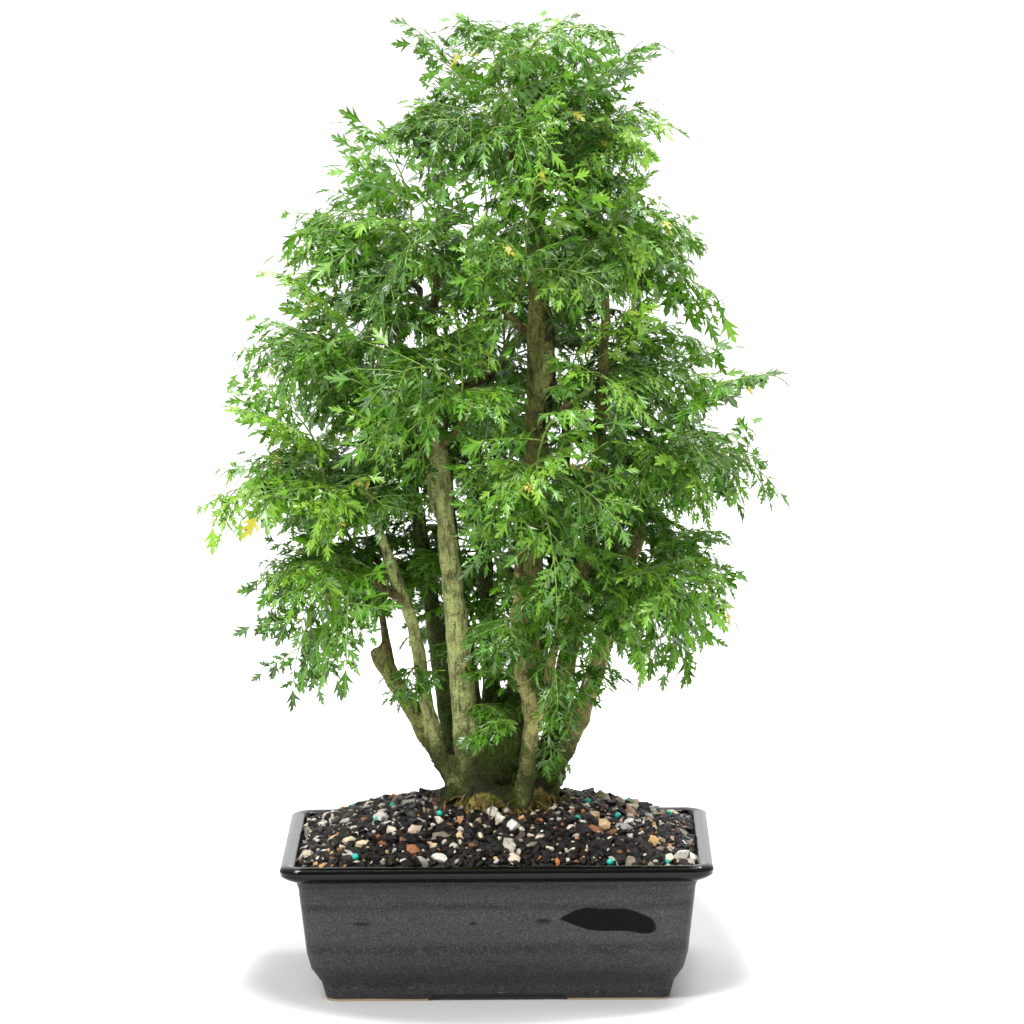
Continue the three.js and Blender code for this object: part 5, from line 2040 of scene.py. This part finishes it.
@dataclass
class Pot:
    """The slip-cast pot: lofted walls and rim, with foot arches and drain holes cut through."""

    finishes: Finishes
    width: float = 203
    depth: float = 150
    # Inset, corner radius and height: up the outside, over the rolled lip and down the inside.
    outside: tuple[Triple, ...] = (
        (21, 6, 0), (18.5, 7, 9), (17.5, 7, 10.5), (14, 8, 16), (12, 8, 24), (8.5, 8, 55.5), (7.5, 8, 58.5),
        (2.5, 9, 61), (0.5, 10, 62.5), (0, 10, 65), (0.8, 10, 66.8), (2.5, 9, 67.5),
    )
    roll: tuple[Triple, ...] = ((2.9, 8.9, 67.62), (3.6, 8.4, 67.66), (4.6, 7.8, 67.5), (5.8, 7.0, 67.15))
    inside: tuple[Triple, ...] = ((7, 6, 66.5), (9, 6, 60.5), (20.8, 6, 20), (25, 5, 11))
    step: float = 2.2
    around: int = 12
    recess: Triple = (137, 84, 5)
    arch_height: float = 3
    long_arch: float = 66
    short_arch: float = 44
    drain_radius: float = 6.5
    drain_apart: float = 84
    drain_sides: int = 40
    softened: float = 0.35
    sharp: float = 40
    shaded: float = 42
    # How far the cuts of the arches reach both ways, past the pot.
    past: float = 130.0

    def build(self) -> None:
        """Builds the pot."""
        piece = self._walls()
        cutters = [self._recess(), *self._drains(), self._arch(self.long_arch, 0), self._arch(self.short_arch, 90)]
        for cutter in cutters:
            modifier = piece.modifiers.new("cut", "BOOLEAN")
            modifier.operation = "DIFFERENCE"
            modifier.solver = "EXACT"
            modifier.object = cutter
            baked(piece)
            bpy.data.objects.remove(cutter)
        bevel = piece.modifiers.new("soften", "BEVEL")
        bevel.width = self.softened * MM
        bevel.segments = 2
        bevel.limit_method = "ANGLE"
        bevel.angle_limit = math.radians(self.sharp)
        baked(piece)
        dress(piece, self.finishes.glaze, self.shaded)
        settle(piece, "glaze", "pot")

    def _profile(self) -> list[Any]:
        """Gives the wall's steps from the ground over the rim down to the floor, with the rim finely rounded.

        Returns:
            Inset, corner radius and height of each step.
        """
        outer = np.array(self.outside)
        fine = []
        for a, b in zip(outer[:-1], outer[1:], strict=True):
            steps = max(1, int(np.linalg.norm((b - a)[[0, 2]]) / self.step))
            fine += [tuple(a + (b - a) * i / steps) for i in range(steps)]
        return [*fine, self.outside[-1], *self.roll, *self.inside]

    def _walls(self) -> Any:
        """Lofts the walls as one closed skin.

        Returns:
            The object.
        """
        verts: list[Any] = []
        profile = self._profile()
        for inset, corner, z in profile:
            line = rounded_corners(self.width / 2 - inset, self.depth / 2 - inset, corner, self.around)
            verts += [(x, y, z) for x, y in line]
        n = len(verts) // len(profile)
        faces: list[Any] = [tuple(range(n))[::-1], *quads(len(profile), n)]
        faces.append(tuple(range(len(verts) - n, len(verts))))
        return new_object("pot_glazed", verts, faces)

    @staticmethod
    def _prism(outline: Any, low: float, high: float, name: str, axes: tuple[int, int, int] = (0, 1, 2)) -> Any:
        """Makes a prism.

        Args:
            outline: Its outline, counterclockwise as its end is seen.
            low: Where it starts along its axis.
            high: Where it ends.
            name: Its name.
            axes: Which of the outline's two numbers and the prism's own stand for x, y and z.

        Returns:
            The object.
        """
        n = len(outline)
        verts = [(x, y, low) for x, y in outline] + [(x, y, high) for x, y in outline]
        faces: list[Any] = [tuple(range(n))[::-1], tuple(range(n, 2 * n)), *quads(2, n)]
        return new_object(name, np.array(verts)[:, axes], faces)

    def _recess(self) -> Any:
        """Makes the hollow under the foot."""
        wide, deep, high = self.recess
        return self._prism(rounded_rectangle(wide / 2, deep / 2, 4, 64), -2, high, "cut_recess")

    def _drains(self) -> list[Any]:
        """Makes the bores of the drain holes."""
        turns = [2 * math.pi * i / self.drain_sides for i in range(self.drain_sides)]
        ring = [(self.drain_radius * math.cos(a), self.drain_radius * math.sin(a)) for a in turns]
        middles = (-self.drain_apart / 2, self.drain_apart / 2)
        return [self._prism([(middle + x, y) for x, y in ring], -5, 20, "cut_drain") for middle in middles]

    def _arch(self, length: float, turn: float) -> Any:
        """Makes the cut of a foot arch.

        Args:
            length: How long the arch is.
            turn: 0 for the front and back, 90 for the ends.

        Returns:
            The object.
        """
        high, half = self.arch_height, length / 2
        side = [(half, -1.0), (half, 0.0), (half - 0.35 * high, 0.7 * high), (half - 1.2 * high, high)]
        outline = side + [(-x, z) for x, z in reversed(side)]
        if turn:
            return self._prism(outline, -self.past, self.past, "cut_arch", (2, 0, 1))
        return self._prism(outline[::-1], -self.past, self.past, "cut_arch", (0, 2, 1))


@dataclass
class Studio:
    """A pale floor, soft lights and the camera."""

    distance: float = 3.0
    pitch: float = 8.25
    yaw: float = 0.45
    roll: float = -0.45
    target: Triple = (0.008, 0.0, 0.224)
    lens: float = 222.9
    # Half the floor's width, in millimetres.
    wide: float = 40000.0
    # The lamps: each one's name, place, width and strength in watts, and what they face.
    lamps: tuple[tuple[str, Triple, float, float], ...] = (
        ("key_light", (-0.8, -1.4, 2.0), 0.8, 74.0), ("top_light", (0.5, 0.4, 2.2), 1.0, 66.0),
    )
    lit: Triple = (0, 0, 0.2)

    def camera(self) -> None:
        """Places the camera as the photograph was taken."""
        yaw, pitch, roll = (math.radians(a) for a in (self.yaw, self.pitch, self.roll))
        back = Vector((math.sin(yaw) * math.cos(pitch), -math.cos(yaw) * math.cos(pitch), math.sin(pitch)))
        right = Vector((math.cos(yaw), math.sin(yaw), 0))
        up = back.cross(right)
        right = right * math.cos(roll) + up * math.sin(roll)
        up = back.cross(right)
        data = bpy.data.cameras.new("camera")
        data.lens, data.sensor_width = self.lens, 36.0
        data.clip_start, data.clip_end = 0.05, 60.0
        camera = bpy.data.objects.new("camera", data)
        turned = Matrix((right, up, back)).transposed().to_4x4()
        camera.matrix_world = Matrix.Translation(Vector(self.target) + back * self.distance) @ turned
        bpy.context.scene.collection.objects.link(camera)
        bpy.context.scene.camera = camera

    def floor(self) -> None:
        """Lays the floor, with a painted shadow round the pot."""
        wide = self.wide
        corners = [(-wide, -wide, 0), (wide, -wide, 0), (wide, wide, 0), (-wide, wide, 0)]
        piece = new_object("floor", corners, [(0, 1, 2, 3)])
        s = Shader("floor_paper")
        place = s.place()
        x, y, _ = s.split(place)
        # The floor is painted darker round the foot: a painted shadow, longer behind the pot than before it.
        behind = s.math("MAXIMUM", y * 0.32, y * -1.15)
        away = (x * x + behind * behind) ** 0.5
        near = s.mix(s.noise(place, 30.0, 2.0), grey(0.43), grey(0.45))
        colour = s.mix(s.between(away, 0.109, 0.14), near, grey(0.85))
        # The floor glows less near the pot, so that the painted shadow there stays dark.
        glow = s.mix(s.between(away, 0.16, 0.9), grey(0.02), grey(0.5))
        more = {"Specular IOR Level": 0.1, "Emission Color": glow, "Emission Strength": 1.0}
        dress(piece, s.done(colour, 0.9, None, more))

    def lamp(self, name: str, place: Triple, size: float, watts: float) -> None:
        """Adds a soft square lamp that faces the crown.

        Args:
            name: Its name.
            place: Where it stands.
            size: The length of its side.
            watts: Its strength.
        """
        data = bpy.data.lights.new(name, "AREA")
        data.shape, data.size, data.energy = "SQUARE", size, watts
        lamp = bpy.data.objects.new(name, data)
        lamp.location = place
        lamp.rotation_mode = "QUATERNION"
        lamp.rotation_quaternion = (Vector(self.lit) - Vector(place)).to_track_quat("-Z", "Y")
        bpy.context.scene.collection.objects.link(lamp)

    def build(self) -> None:
        """Sets up floor, light and camera."""
        scene = bpy.context.scene
        scene.view_settings.view_transform = "Standard"
        scene.world = self.sky()
        self.floor()
        for lamp in self.lamps:
            self.lamp(*lamp)
        self.camera()

    @staticmethod
    def sky() -> Any:
        """Makes the soft light from all round: bright overhead and dimmer near the horizon.

        Returns:
            The world.
        """
        world = bpy.data.worlds.new("studio")
        world.use_nodes = True
        world.node_tree.nodes.clear()
        t = Tree(world.node_tree)
        _, depth, height = t.split(t.wire(t.node("ShaderNodeTexCoord", {}, {}), "Generated"))
        strength = 0.1 + 0.8 * t.between(height, 0.1, 0.8) + 0.9 * t.between(depth, 0.3, 0.95)
        seen = t.wire(t.node("ShaderNodeLightPath", {}, {}), "Is Camera Ray")
        strength = strength * (1 - seen) + seen * 0.96
        glow = t.node("ShaderNodeBackground", {}, {"Color": grey(1.0), "Strength": strength})
        t.node("ShaderNodeOutputWorld", {}, {"Surface": t.wire(glow)})
        return world


def main() -> None:
    """Builds every piece in order; each logs its triangles as it settles."""
    logging.basicConfig(level=logging.INFO, format="%(name)s: %(message)s")
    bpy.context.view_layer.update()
    Studio().build()
    finishes = Finishes()
    crown, clump, mix = Crown(finishes), StemClump(finishes), GrowingMix(finishes)
    crown.build(clump)
    clump.build(crown, mix)
    clump.hairs(mix)
    mix.build(clump)
    Pot(finishes).build()
    for name in ("drain_screen_left", "drain_screen_right"):
        node = frame["nodes"][name]
        node.data.materials.clear()
        node.data.materials.append(finishes.screen)


if __name__ == "__main__":
    main()
